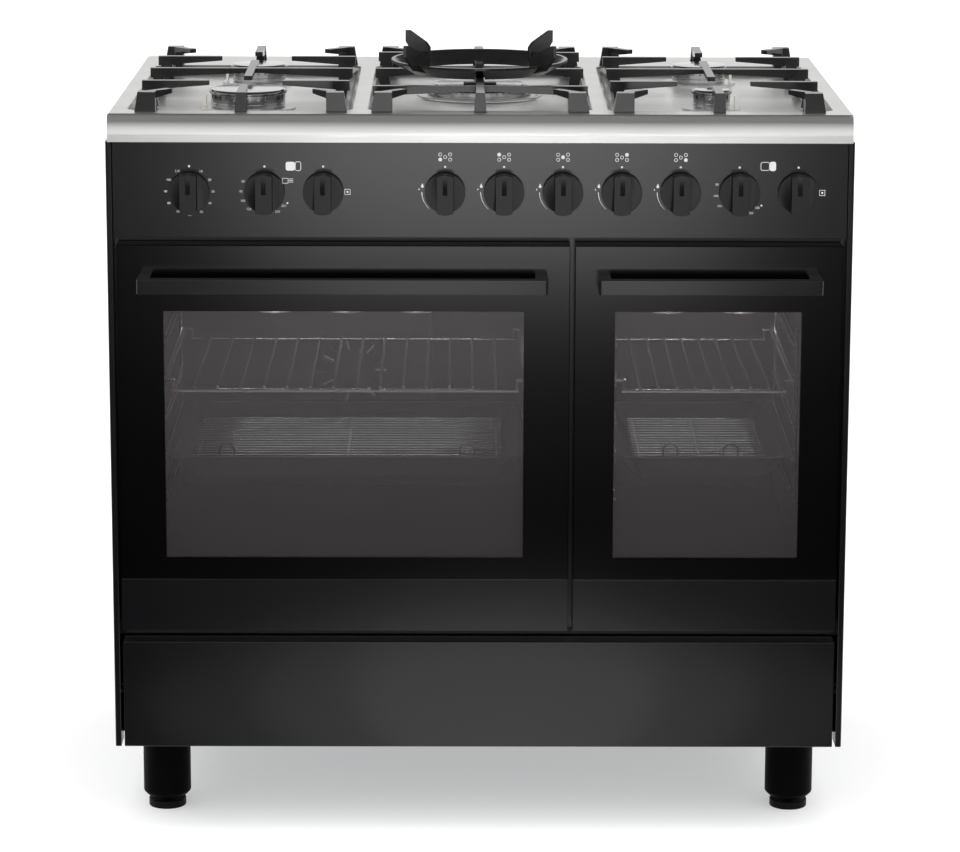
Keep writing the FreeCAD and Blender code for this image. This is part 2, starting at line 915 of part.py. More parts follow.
grids = grill_grid(size("main_cavity_left"), size("main_cavity_right"))
grids += grill_grid(size("small_cavity_left"), size("small_cavity_right"))
keep(shaped("grill_grids", Part.makeCompound(grids)))

# Grill elements: one bent tube under each oven roof, held by a strap


def grill_element(left, right, rods):
    radius = size("element_radius")
    turn_radius = size("element_bend")
    height = size("cavity_roof") - size("element_drop")
    near = size("frame_back") + size("element_inset")
    rear = size("cavity_rear")
    far = rear - size("fan_cover_depth") - size("element_inset")
    middle = (left + right) / 2
    first = middle - (rods - 1) * turn_radius
    last = middle + (rods - 1) * turn_radius
    path = [Vector(first, rear, height)]
    for k in range(rods - 1):
        at_front = k % 2 == 0
        centre_y = near + turn_radius if at_front else far - turn_radius
        centre_x = first + (2 * k + 1) * turn_radius
        for part in range(BEND_STEPS + 1):
            turn = math.pi * part / BEND_STEPS
            sweep = math.sin(turn) * turn_radius
            path.append(Vector(centre_x - turn_radius * math.cos(turn),
                               centre_y - sweep if at_front else centre_y + sweep, height))
    path.append(Vector(last, rear, height))
    strap = Part.makeBox(last - first, size("liner"), size("element_drop") - radius,
                         Vector(first, near + 2 * turn_radius, height + radius))
    return [bent(path, radius), strap]


elements = grill_element(size("main_cavity_left"), size("main_cavity_right"), MAIN_ELEMENT_RODS)
elements += grill_element(size("small_cavity_left"), size("small_cavity_right"), SMALL_ELEMENT_RODS)
keep(shaped("grill_elements", Part.makeCompound(elements)))

# Fan cover: a shallow pressed box on the rear wall with slots round its eye

fan_cover = new_body("fan_cover")
cover_face = sketch_on(fan_cover, "face", "XZ", "-cavity_rear")
rectangle(cover_face, "main_middle - fan_cover_size / 2", "main_middle + fan_cover_size / 2",
          "cavity_middle - fan_cover_size / 2", "cavity_middle + fan_cover_size / 2")
pad(fan_cover, "block", cover_face, "fan_cover_depth")
cover_hollow = sketch_on(fan_cover, "hollow", "XZ", "-cavity_rear")
rectangle(cover_hollow,
          "main_middle - fan_cover_size / 2 + sheet", "main_middle + fan_cover_size / 2 - sheet",
          "cavity_middle - fan_cover_size / 2 + sheet", "cavity_middle + fan_cover_size / 2 - sheet")
pocket(fan_cover, "hollow_cut", cover_hollow, "fan_cover_depth - sheet", backwards=True)
cover_slots = sketch_on(fan_cover, "slots", "XZ", "-cavity_rear + fan_cover_depth")
for index in range(FAN_SLOTS):
    angle = 360.0 * index / FAN_SLOTS
    corners = []
    for radial, side in (("fan_eye - fan_slot_length", -1), ("fan_eye", -1),
                         ("fan_eye", 1), ("fan_eye - fan_slot_length", 1)):
        along = "(%s)" % radial
        beside = "(%d * fan_slot_width / 2)" % side
        corners.append((
            "main_middle + %s * cos(%g) - %s * sin(%g)" % (along, angle, beside, angle),
            "cavity_middle + %s * sin(%g) + %s * cos(%g)" % (along, angle, beside, angle),
        ))
    polygon(cover_slots, corners)
pocket(fan_cover, "slot_cut", cover_slots, "sheet + overrun")
keep(fan_cover)

# Fan wheel: hub, shaft and straight blades, turned by the motor behind the wall


def fan_wheel():
    middle = Vector(size("main_middle"), 0, size("cavity_middle"))
    rear = size("cavity_rear")
    near = rear - size("fan_cover_depth") + size("sheet") + 2 * size("overrun")
    hub_length = size("fan_blade_width")
    hub = Part.makeCylinder(size("fan_hub"), hub_length, middle + Vector(0, near, 0), Vector(0, 1, 0))
    shaft = Part.makeCylinder(size("fan_shaft"), rear + size("motor_length") / 2 - near,
                              middle + Vector(0, near, 0), Vector(0, 1, 0))
    wheel = hub.fuse(shaft)
    for k in range(FAN_BLADES):
        blade = Part.makeBox(size("fan_blade_reach"), hub_length, size("sheet"),
                             middle + Vector(0, near, -size("sheet") / 2))
        blade.rotate(middle, Vector(0, 1, 0), 360.0 * k / FAN_BLADES)
        wheel = wheel.fuse(blade)
    return wheel.removeSplitter()


keep(shaped("fan_wheel", fan_wheel()))

motor_case = bar("motor_case", "Y", 8, "motor_radius", "motor_length",
                 "main_middle", "cavity_rear + liner", "cavity_middle")
motor_bearing = bar("motor_bearing", "Y", BORE_SIDES,
                    "(fan_shaft + shaft_clearance) / cos(180 / %d)" % BORE_SIDES,
                    "motor_length / 2 + overrun", "main_middle", "cavity_rear + liner - overrun",
                    "cavity_middle")
keep(subtract("fan_motor", motor_case, [motor_bearing]))

# Oven lamps: round glass covers high on each rear wall

keep(group("oven_lamps", [
    rod("main_lamp", "Y", "lamp_radius", "lamp_depth", "main_cavity_right - lamp_inset",
        "cavity_rear - lamp_depth", "cavity_roof - lamp_inset - element_drop"),
    rod("small_lamp", "Y", "lamp_radius", "lamp_depth", "small_cavity_right - lamp_inset",
        "cavity_rear - lamp_depth", "cavity_roof - lamp_inset - element_drop"),
]))

# Hob: one pressed steel top with a folded apron, three drafted wells and raised burner pads

BURNERS = {
    "front_left": ("-burner_offset", "-burner_spread", "large_cap"),
    "rear_left": ("-burner_offset", "burner_spread", "medium_cap"),
    "centre": ("0", "0", "wok_burner"),
    "rear_right": ("burner_offset", "burner_spread", "medium_cap"),
    "front_right": ("burner_offset", "-burner_spread", "small_cap"),
}
CROWN_HEIGHTS = {name: "wok_crown_height" if name == "centre" else "crown_height" for name in BURNERS}
WELLS = (("-side_well_offset", "side_well_width"), ("0", "centre_well_width"),
         ("side_well_offset", "side_well_width"))

hob_top = new_body("hob_top")
hob_side = sketch_on(hob_top, "side", "YZ")
polygon(hob_side, [
    ("front - apron_reach", "panel_top + slip"),
    ("front - apron_reach", "deck_top - apron_slope"),
    ("front - crease_reach", "deck_top"),
    ("back", "deck_top"),
    ("back", "panel_top"),
    ("back - sheet", "panel_top"),
    ("back - sheet", "deck_top - sheet"),
    ("front - crease_reach + sheet / 2", "deck_top - sheet"),
    ("front - apron_reach + sheet", "deck_top - apron_slope - sheet / 2"),
    ("front - apron_reach + sheet", "panel_top + slip"),
])
pad(hob_top, "deck", hob_side, "2 * hob_half", symmetric=True)
for name, offset, backwards in (("left", "-hob_half", False), ("right", "hob_half", True)):
    cheek = sketch_on(hob_top, name + "_cheek", "YZ", offset)
    polygon(cheek, [
        ("front - apron_reach", "panel_top + slip"),
        ("front - apron_reach", "deck_top - apron_slope"),
        ("front - crease_reach", "deck_top"),
        ("back", "deck_top"),
        ("back", "panel_top"),
        ("frame_back + slip", "panel_top"),
        ("frame_back + slip", "panel_top + slip"),
    ])
    pad(hob_top, name + "_skirt", cheek, "sheet", backwards=backwards)
wells_under = sketch_on(hob_top, "wells_under", "XY", "deck_top - sheet / 2")
for middle, span in WELLS:
    rectangle(wells_under, "%s - %s / 2 - sheet" % (middle, span), "%s + %s / 2 + sheet" % (middle, span),
              "well_front - sheet", "well_back + sheet")
pad(hob_top, "well_blocks", wells_under, "well_depth + sheet / 2", backwards=True)
wells_plan = sketch_on(hob_top, "wells_plan", "XY", "deck_top")
for middle, span in WELLS:
    left = "%s - %s / 2" % (middle, span)
    right = "%s + %s / 2" % (middle, span)
    polygon(wells_plan, [
        (left + " + well_corner", "well_front"),
        (right + " - well_corner", "well_front"),
        (right, "well_front + well_corner"),
        (right, "well_back - well_corner"),
        (right + " - well_corner", "well_back"),
        (left + " + well_corner", "well_back"),
        (left, "well_back - well_corner"),
        (left, "well_front + well_corner"),
    ])
well_cut = pocket(hob_top, "wells", wells_plan, "well_depth")
well_cut.setExpression("TaperAngle", ref("-well_slope"))
pads = sketch_on(hob_top, "pads", "XY", "well_floor")
for x, y, radius in BURNERS.values():
    circle(pads, x, "well_centre + " + y, "(%s) + pad_margin" % radius)
pad(hob_top, "burner_pads", pads, "pad_height")
holes = sketch_on(hob_top, "holes", "XY", "well_floor + pad_height")
for x, y, radius in BURNERS.values():
    regular(holes, x, "well_centre + " + y,
            "((%s) - cup_inset + slip) / cos(180 / %d)" % (radius, BORE_SIDES), BORE_SIDES)
pocket(hob_top, "burner_holes", holes, "pad_height + sheet + overrun")
keep(hob_top)

# Burner crowns: a ring with flame slots over a cup that hangs through the hob


def burner_crown(name, x, y, radius, height, slots):
    """A crown in its own frame, z = 0 on the hob's burner pad."""
    body = new_body("crown_" + name)
    cup = sketch_on(body, "cup_plan", "XY", "-cup_depth")
    regular(cup, "0", "0", "(%s) - cup_inset" % radius, BORE_SIDES)
    pad(body, "cup", cup, "cup_depth + slot_height")
    ring = sketch_on(body, "ring_plan", "XY")
    circle(ring, "0", "0", "(%s) - crown_inset" % radius)
    pad(body, "ring", ring, height)
    slot_plan = sketch_on(body, "slot_plan", "XY", height)
    for index in range(slots):
        angle = 360.0 * (index + 0.5) / slots
        corners = []
        for radial, side in (("- slot_depth", -1), ("+ overrun", -1), ("+ overrun", 1), ("- slot_depth", 1)):
            along = "((%s) - crown_inset %s)" % (radius, radial)
            beside = "(%d * slot_width / 2)" % side
            corners.append((
                "%s * cos(%g) - %s * sin(%g)" % (along, angle, beside, angle),
                "%s * sin(%g) + %s * cos(%g)" % (along, angle, beside, angle),
            ))
        polygon(slot_plan, corners)
    pocket(body, "slots", slot_plan, "slot_height")
    return at(body, x, "well_centre + " + y, "well_floor + pad_height")


SLOT_COUNTS = {"front_left": 12, "rear_left": 10, "centre": 18, "rear_right": 10, "front_right": 8}
crowns = []
for name, (x, y, radius) in BURNERS.items():
    crowns.append(burner_crown(name, x, y, radius, CROWN_HEIGHTS[name], SLOT_COUNTS[name]))
keep(group("burner_crowns", crowns))

# Burner caps: enamelled discs with a chamfered edge that lie on the crowns


def burner_cap(name, x, y, radius, height):
    body = new_body("cap_" + name)
    section = sketch_on(body, "section", "XZ")
    polygon(section, [
        ("0", "0"),
        (radius, "0"),
        (radius, "cap_thickness - cap_edge"),
        ("%s - 2 * cap_edge" % radius, "cap_thickness"),
        ("0", "cap_thickness"),
    ])
    turned = body.newObject("PartDesign::Revolution", body.Label + "_disc")
    turned.Profile = section
    turned.ReferenceAxis = (section, ["V_Axis"])
    turned.Angle = 360
    body.Tip = turned
    return at(body, x, "well_centre + " + y, "well_floor + pad_height + " + height)


caps = []
for name, (x, y, radius) in BURNERS.items():
    cap_radius = "wok_cap" if name == "centre" else radius
    caps.append(burner_cap(name, x, y, cap_radius, CROWN_HEIGHTS[name]))
keep(group("burner_caps", caps))

# Spark electrodes: one ceramic pin beside each burner crown

electrodes = []
for name, (x, y, radius) in BURNERS.items():
    side = "-" if x == "-burner_offset" else "+"
    electrodes.append(bar("electrode_" + name, "Z", WIRE_SIDES, "electrode_radius",
                          CROWN_HEIGHTS[name] + " - electrode_drop",
                          "%s %s (%s + electrode_gap)" % (x, side, radius),
                          "well_centre + " + y, "well_floor + pad_height"))
keep(group("spark_electrodes", electrodes))

# Pan supports: cast grids whose corner feet stand on the strips before and behind the wells


def bar_between(start, end, low_start, low_end, top):
    """A level-topped bar whose underside slopes from one depth to another."""
    corners = [
        Vector(start[0], start[1], top),
        Vector(end[0], end[1], top),
        Vector(end[0], end[1], top - low_end),
        Vector(start[0], start[1], top - low_start),
    ]
    return prism(corners, size("support_bar"))


def upright(foot, crown, low, high):
    """A block that leans from one level rectangle to another, each as left, right, near, far."""
    rings = []
    for (left, right, near, far), height in ((foot, low), (crown, high)):
        rings.append([
            Vector(left, near, height),
            Vector(right, near, height),
            Vector(right, far, height),
            Vector(left, far, height),
        ])
    return skin(rings)


def across(side, outer, width):
    """The left and right of a block that reaches inwards from the outer distance on one side."""
    return tuple(sorted((side * outer, side * (outer - width))))


def rail_web(sides, end):
    """The web that ties a finger to the rail that it crosses at the front or rear."""
    rail = size("support_rail")
    near = across(end, size("well_length") / 2 - size("support_rail_inset"), rail)[0]
    low = size("support_rail_lift") - size("well_depth")
    return Part.makeBox(sides[1] - sides[0], rail, size("support_top") - size("support_tip_height") - low,
                        Vector(sides[0], near, low))


def support_frame(half):
    """Rails, corner feet and corner fingers, round the origin, z = 0 on the hob deck."""
    bar = size("support_bar")
    rail = size("support_rail")
    top = size("support_top")
    length = size("support_half_length")
    rail_row = size("well_length") / 2 - size("support_rail_inset")
    rail_side = half - size("support_rail_inset")
    rail_low = size("support_rail_lift") - size("well_depth")
    foot = size("support_foot")
    lean = size("support_foot_lean")
    reach = size("support_corner_reach")
    nose = lean + bar / math.sqrt(8)
    pieces = []
    for side in (-1, 1):
        left = across(side, rail_side, rail)[0]
        near = across(side, rail_row, rail)[0]
        pieces.append(Part.makeBox(rail, 2 * rail_row, rail, Vector(left, -rail_row, rail_low)))
        pieces.append(Part.makeBox(2 * rail_side, rail, rail, Vector(-rail_side, near, rail_low)))
        for end in (-1, 1):
            depth = across(end, length, size("support_foot_depth"))
            pieces.append(upright(across(side, half, foot) + depth,
                                  across(side, half - lean, foot - lean) + depth, 0, top))
            start = (side * (half - nose), end * (length - nose + lean))
            point = (side * (half - reach), end * (length - reach))
            pieces.append(bar_between(start, point, size("support_bar_height"),
                                      size("support_tip_height"), top))
            pieces.append(rail_web(across(side, half - foot + bar, bar), end))
    return pieces


def row_post(half, side, y):
    """The upright that carries the end of a row on the side rail."""
    beside = (y - size("support_bar") / 2, y + size("support_bar") / 2)
    width = size("support_post")
    lean = size("support_post_lean")
    low = size("support_rail_lift") - size("well_depth")
    return upright(across(side, half - size("support_rail_inset"), width - lean) + beside,
                   across(side, half, width) + beside, low, size("support_top"))


def end_finger(end, reach):
    """The finger in the middle of the front or rear, with its own foot."""
    top = size("support_top")
    length = size("support_half_length")
    depth = across(end, length, size("support_foot_depth"))
    foot = size("support_end_foot") / 2
    crown = size("support_end_crown") / 2
    stand = upright((-foot, foot) + depth, (-crown, crown) + depth, 0, top)
    finger = bar_between((0, end * length), (0, end * reach), size("support_bar_height"),
                         size("support_tip_height"), top)
    bar = size("support_bar")
    return [stand, finger, rail_web((-bar / 2, bar / 2), end)]


def side_support():
    half = size("support_side_half")
    top = size("support_top")
    deep = size("support_bar_height")
    tip = size("support_tip_height")
    gap = size("support_tip_gap")
    spread = size("burner_spread")
    pieces = support_frame(half)
    for side in (-1, 1):
        for end in (-1, 1):
            y = end * spread
            pieces.append(row_post(half, side, y))
            pieces.append(bar_between((side * half, y), (side * gap, y), deep, tip, top))
        pieces.append(row_post(half, side, 0))
        pieces.append(bar_between((side * half, 0), (0, 0), deep, tip, top))
    pieces.append(bar_between((0, gap - spread), (0, spread - gap), tip, tip, top))
    for end in (-1, 1):
        pieces += end_finger(end, spread + gap)
    return pieces[0].multiFuse(pieces[1:]).removeSplitter()


def centre_support():
    half = size("support_centre_half")
    top = size("support_top")
    deep = size("support_bar_height")
    tip = size("support_tip_height")
    row = size("support_cross_row")
    tee = size("support_tee") / 2
    tee_row = size("support_tee_row")
    pieces = support_frame(half)
    for side in (-1, 1):
        pieces.append(row_post(half, side, 0))
        pieces.append(bar_between((side * half, 0), (side * size("support_ring_finger"), 0), deep, tip, top))
        for end in (-1, 1):
            y = end * row
            pieces.append(row_post(half, side, y))
            pieces.append(bar_between((side * half, y), (0, y), deep, size("support_waist"), top))
    for end in (-1, 1):
        pieces.append(bar_between((-tee, end * tee_row), (tee, end * tee_row), tip, tip, top))
        pieces += end_finger(end, size("support_finger_end"))
    return pieces[0].multiFuse(pieces[1:]).removeSplitter()


SUPPORTS = (("left", "-support_offset", side_support), ("centre", "0", centre_support),
            ("right", "support_offset", side_support))
for name, x, maker in SUPPORTS:
    piece = shaped("pan_support_" + name, maker())
    keep(at(piece, x, "well_centre", "deck_top"))

# Wok ring: a flared cast bowl without a floor, notched over the four long fingers, with four
# blades that lean outwards


def wok_ring():
    """Round the origin, z = 0 on top of the pan supports."""
    rim = size("ring_rim")
    rim_height = size("ring_rim_height")
    drop = size("ring_drop")
    outline = [
        (size("ring_mouth"), -drop),
        (rim - size("ring_wall"), rim_height),
        (rim, rim_height),
        (rim, rim_height - size("ring_lip")),
        (size("ring_foot"), -drop),
    ]
    corners = [Vector(radius, 0, height) for radius, height in outline]
    face = Part.Face(Part.makePolygon(corners + corners[:1]))
    ring = face.revolve(Vector(0, 0, 0), Vector(0, 0, 1), 360)
    notch = size("support_bar") + 2 * size("ring_notch_gap")
    deep = drop + size("overrun")
    ring = ring.cut([
        Part.makeBox(2 * rim, notch, deep, Vector(-rim, -notch / 2, -deep)),
        Part.makeBox(notch, 2 * rim, deep, Vector(-notch / 2, -rim, -deep)),
    ])
    blade_outline = [
        (size("blade_inner"), 0),
        (size("blade_inner"), size("blade_inner_top")),
        (size("blade_shoulder"), size("blade_shoulder_height")),
        (size("blade_corner"), size("blade_top")),
        (size("blade_outer"), size("blade_top")),
        (size("blade_outer"), size("blade_outer_height")),
        (size("blade_foot"), size("blade_foot_height")),
    ]
    plate = prism([Vector(radius, 0, height) for radius, height in blade_outline],
                  size("blade_thickness"))
    blades = []
    for k in range(4):
        blade = plate.copy()
        blade.rotate(Vector(0, 0, 0), Vector(0, 0, 1), 45 + 90 * k)
        blades.append(blade)
    return ring.multiFuse(blades).removeSplitter()


keep(at(shaped("wok_ring", wok_ring()), "0", "well_centre", "support_plane"))

# Control panel: a folded sheet between the side panels

KNOBS = {
    "timer": "-knob_timer",
    "main_oven": "-knob_oven",
    "main_lamp": "-knob_lamp",
    "front_left": "-knob_first_burner",
    "rear_left": "knob_pitch - knob_first_burner",
    "centre": "2 * knob_pitch - knob_first_burner",
    "rear_right": "3 * knob_pitch - knob_first_burner",
    "front_right": "4 * knob_pitch - knob_first_burner",
    "small_oven": "5 * knob_pitch - knob_first_burner",
    "small_lamp": "6 * knob_pitch - knob_first_burner",
}
GAS_KNOBS = ("front_left", "rear_left", "centre", "rear_right", "front_right")

control_panel = new_body("control_panel")
panel_side = sketch_on(control_panel, "side", "YZ")
polygon(panel_side, [
    ("front", "panel_bottom"),
    ("front", "panel_top"),
    ("frame_front", "panel_top"),
    ("frame_front", "panel_top - sheet"),
    ("front + sheet", "panel_top - sheet"),
    ("front + sheet", "panel_bottom + sheet"),
    ("frame_front", "panel_bottom + sheet"),
    ("frame_front", "panel_bottom"),
])
pad(control_panel, "fascia", panel_side, "2 * (half - side_edge - slip)", symmetric=True)
spindle_holes = sketch_on(control_panel, "spindle_holes", "XZ", "-front")
for x in KNOBS.values():
    regular(spindle_holes, x, "knob_height", "spindle_hole", BORE_SIDES)
pocket(control_panel, "holes", spindle_holes, "sheet + overrun")
keep(control_panel)

# Knobs: a disc with a bar across its full width, and a shallow mark on the bar


def knob(name, x):
    """A knob in its own frame, y = 0 on the panel's face and z along the bar."""
    body = new_body("knob_" + name)
    disc = sketch_on(body, "disc_plan", "XZ", "knob_gap")
    regular(disc, "0", "0", "knob_radius", KNOB_SIDES)
    pad(body, "disc", disc, "knob_base + knob_grip")
    sides = sketch_on(body, "sides", "XZ", "knob_gap + knob_base + knob_grip")
    for left, right in (("knob_grip_width / 2", "knob_radius + overrun"),
                        ("-knob_radius - overrun", "-knob_grip_width / 2")):
        rectangle(sides, left, right, "-knob_radius - overrun", "knob_radius + overrun")
    pocket(body, "flanks", sides, "knob_grip")
    mark = sketch_on(body, "mark", "XZ", "knob_gap + knob_base + knob_grip")
    rectangle(mark, "-knob_mark_width / 2", "knob_mark_width / 2", "0", "knob_radius + overrun")
    pocket(body, "groove", mark, "knob_mark_depth")
    bore = sketch_on(body, "bore", "XZ", "knob_gap")
    circle(bore, "0", "0", "spindle_radius + shaft_clearance")
    pocket(body, "socket", bore, "knob_bore_depth", backwards=True)
    return keep(at(body, x, "front", "knob_height"))


for name, x in KNOBS.items():
    knob(name, x)

# Gas spindles: each slides in its tap when the knob is pushed

for name in GAS_KNOBS:
    keep(bar("spindle_" + name, "Y", WIRE_SIDES, "spindle_radius",
             "knob_gap + knob_bore_depth - spindle_tip_gap + sheet + body_setback + tap_shaft_depth",
             KNOBS[name], "front - knob_gap - knob_bore_depth + spindle_tip_gap", "knob_height"))

# Gas taps on their rail, with the supply pipe that runs to the back

taps = []
for name in GAS_KNOBS:
    x = KNOBS[name]
    tap_body = box("tap_" + name + "_block", x + " - tap_width / 2", x + " + tap_width / 2",
                   "body_front", "body_front + tap_depth",
                   "knob_height - tap_height / 2", "knob_height + tap_height / 2")
    tap_boss = bar("tap_" + name + "_boss", "Y", WIRE_SIDES, "body_boss", "body_setback",
                   x, "front + sheet", "knob_height")
    tap_bore = bar("tap_" + name + "_bore", "Y", WIRE_SIDES,
                   "spindle_radius + shaft_clearance / cos(180 / %d)" % WIRE_SIDES,
                   "body_setback + tap_shaft_depth + knob_travel + 2 * overrun",
                   x, "front + sheet - overrun", "knob_height")
    taps.append(subtract("tap_" + name, join("tap_" + name + "_solid", [tap_body, tap_boss]),
                         [tap_bore]))


def supply_pipe():
    """From the blank end beside the first tap, along the taps and back to the rear panel."""
    radius = size("rail_radius")
    bend = size("rail_bend")
    height = size("knob_height")
    along = size("body_front") + size("tap_depth") + radius
    start = Vector(-size("knob_first_burner") - size("rail_overhang"), along, height)
    corner_x = size("inside") - size("inlet_inset")
    rear = size("back") - size("sheet")
    path = [start]
    for part in range(BEND_STEPS + 1):
        turn = math.pi / 2 * part / BEND_STEPS
        path.append(Vector(corner_x - bend + bend * math.sin(turn),
                           along + bend - bend * math.cos(turn), height))
    path.append(Vector(corner_x, rear, height))
    return bent(path, radius, BORE_SIDES)


keep(group("gas_rail", taps + [shaped("supply_pipe", supply_pipe())]))

# Timer, thermostats and lamp switches, with their fixed shafts

switches = []
for name, x in KNOBS.items():
    if name in GAS_KNOBS:
        continue
    switches.append(join("switch_" + name, [
        box("switch_%s_case" % name, x + " - switch_size / 2", x + " + switch_size / 2",
            "body_front", "body_front + switch_depth",
            "knob_height - switch_size / 2", "knob_height + switch_size / 2"),
        bar("switch_%s_boss" % name, "Y", WIRE_SIDES, "body_boss", "body_setback + overrun",
            x, "front + sheet", "knob_height"),
        bar("switch_%s_shaft" % name, "Y", WIRE_SIDES, "spindle_radius",
            "knob_gap + knob_bore_depth - spindle_tip_gap + sheet + overrun",
            x, "front - knob_gap - knob_bore_depth + spindle_tip_gap", "knob_height"),
    ]))
keep(group("dial_switches", switches))

# Doors: a steel tray, a front glass, an inner glass and a bar handle


def door(name, left, right, window_inset):
    glass = box(name + "_door_glass", left, right, "front", "front + glass_thickness",
                "glass_bottom", "door_top")
    keep(glass)

    tray = new_body(name + "_door_frame")
    plan = sketch_on(tray, "plan", "XZ", "-door_back")
    rectangle(plan, left, right, "door_bottom", "door_top")
    pad(tray, "block", plan, "door_thickness - glass_thickness")
    foot_plan = sketch_on(tray, "foot_plan", "XZ", "-front - glass_thickness")
    rectangle(foot_plan, left, right, "door_bottom", "glass_bottom")
    pad(tray, "foot_skin", foot_plan, "glass_thickness")
    window = sketch_on(tray, "window", "XZ", "-front - glass_thickness")
    rectangle(window, "%s + %s" % (left, window_inset), "%s - %s" % (right, window_inset),
              "window_bottom", "window_top")
    pocket(tray, "window_cut", window, "door_thickness")
    hollow = sketch_on(tray, "hollow", "XZ", "-door_back")
    rectangle(hollow, left + " + door_rim", right + " - door_rim",
              "door_bottom + door_foot", "door_top - door_rim")
    pocket(tray, "hollow_cut", hollow, "door_thickness - glass_thickness - door_skin", backwards=True)
    seat = sketch_on(tray, "seat", "XZ", "-door_back")
    rectangle(seat, left + " + inner_glass_margin", right + " - inner_glass_margin",
              "door_bottom + door_foot - inner_glass_margin", "door_top - inner_glass_margin")
    pocket(tray, "seat_cut", seat, "glass_thickness", backwards=True)
    notches = sketch_on(tray, "notches", "XZ", "-door_back")
    for middle in HINGES[name]:
        rectangle(notches, middle + " - hinge_width / 2 - hinge_side_gap",
                  middle + " + hinge_width / 2 + hinge_side_gap",
                  "door_bottom - overrun", "hinge_height + hinge_knuckle + hinge_swing_gap")
    pocket(tray, "notch_cut", notches, "door_back - hinge_place + hinge_knuckle + hinge_swing_gap",
           backwards=True)
    for side, middle, backwards in zip(("left", "right"), HINGES[name], (False, True)):
        socket = sketch_on(tray, side + "_socket", "YZ", middle)
        circle(socket, "hinge_place", "hinge_height", "pin_radius + shaft_clearance")
        pocket(tray, side + "_socket_cut", socket,
               "hinge_width / 2 + hinge_side_gap + pin_reach + overrun", backwards=backwards)
    keep(tray)

    inner = box(name + "_inner_glass", left + " + inner_glass_margin + slip",
                right + " - inner_glass_margin - slip", "door_back - glass_thickness", "door_back",
                "door_bottom + door_foot - inner_glass_margin + slip",
                "door_top - inner_glass_margin - slip")
    keep(inner)

    grip = new_body(name + "_handle")
    bar = sketch_on(grip, "plan", "XY", "handle_top - handle_height")
    ends = (left + " + handle_inset", right + " - handle_inset")
    polygon(bar, [
        (ends[0], "front"),
        (ends[0], "front - handle_reach"),
        (ends[1], "front - handle_reach"),
        (ends[1], "front"),
        (ends[1] + " - handle_post", "front"),
        (ends[1] + " - handle_post", "front - handle_reach + handle_bar"),
        (ends[0] + " + handle_post", "front - handle_reach + handle_bar"),
        (ends[0] + " + handle_post", "front"),
    ])
    pad(grip, "bar", bar, "handle_height")
    nose = size("front") - size("handle_reach")
    fillet(grip, "corners", "handle_round",
           lambda edge: runs_along(edge, Vector(0, 0, 1)) and abs(edge.CenterOfMass.y - nose) < 0.01)
    keep(grip)


door("main", "door_left", "main_right", "main_window_inset")
door("small", "small_left", "door_right", "small_window_inset")

# Drawer: a hollow front, an open box behind it and flanges that run in fixed channels

drawer_front = new_body("drawer_front")
drawer_face = sketch_on(drawer_front, "face", "XZ", "-front - drawer_thickness")
rectangle(drawer_face, "door_left", "door_right", "drawer_bottom", "drawer_top")
pad(drawer_front, "block", drawer_face, "drawer_thickness")
drawer_hollow = sketch_on(drawer_front, "hollow", "XZ", "-front - drawer_thickness")
rectangle(drawer_hollow, "door_left + sheet", "door_right - sheet",
          "drawer_bottom + sheet", "drawer_top - sheet")
pocket(drawer_front, "hollow_cut", drawer_hollow, "drawer_thickness - 2 * sheet", backwards=True)
keep(drawer_front)

drawer_box = new_body("drawer_box")
box_plan = sketch_on(drawer_box, "plan", "XY", "base_top + drawer_floor_gap")
rectangle(box_plan, "-drawer_half", "drawer_half", "front + 2 * sheet", "back - drawer_back_gap")
pad(drawer_box, "block", box_plan, "drawer_box_height")
box_space = sketch_on(drawer_box, "space", "XY", "base_top + drawer_floor_gap + drawer_box_height")
rectangle(box_space, "drawer_wall - drawer_half", "drawer_half - drawer_wall",
          "front + 2 * sheet + drawer_wall", "back - drawer_back_gap - drawer_wall")
pocket(drawer_box, "space_cut", box_space, "drawer_box_height - drawer_wall")
wings = sketch_on(drawer_box, "wings", "XY", "runner_bottom + sheet + slip")
for sign in ("-", ""):
    polygon(wings, [
        ("%s(drawer_half - drawer_wall / 2)" % sign, "frame_back + slip"),
        ("%s(drawer_half + drawer_flange)" % sign, "frame_back + slip"),
        ("%s(drawer_half + drawer_flange)" % sign, "back - drawer_back_gap"),
        ("%s(drawer_half - drawer_wall / 2)" % sign, "back - drawer_back_gap"),
    ])
pad(drawer_box, "flanges", wings, "sheet")
keep(drawer_box)

drawer_runners = []
for name, sign in (("left", "-"), ("right", "")):
    body = new_body("runner_" + name)
    profile = sketch_on(body, "profile", "XZ", "-back + sheet")
    polygon(profile, [
        ("%s(inside - runner_leg)" % sign, "runner_bottom"),
        ("%sinside" % sign, "runner_bottom"),
        ("%sinside" % sign, "runner_bottom + runner_height"),
        ("%s(inside - runner_leg)" % sign, "runner_bottom + runner_height"),
        ("%s(inside - runner_leg)" % sign, "runner_bottom + runner_height - sheet"),
        ("%s(inside - sheet)" % sign, "runner_bottom + runner_height - sheet"),
        ("%s(inside - sheet)" % sign, "runner_bottom + sheet"),
        ("%s(inside - runner_leg)" % sign, "runner_bottom + sheet"),
    ])
    pad(body, "channel", profile, "back - sheet - frame_back")
    drawer_runners.append(body)
keep(group("drawer_runners", drawer_runners))

# Legs and levelling feet

LEG_PLACES = (
    ("front_left", "leg_side_inset - half", "front + leg_front_inset"),
    ("front_right", "half - leg_side_inset", "front + leg_front_inset"),
    ("rear_left", "leg_side_inset - half", "back - leg_back_inset"),
    ("rear_right", "half - leg_side_inset", "back - leg_back_inset"),
)


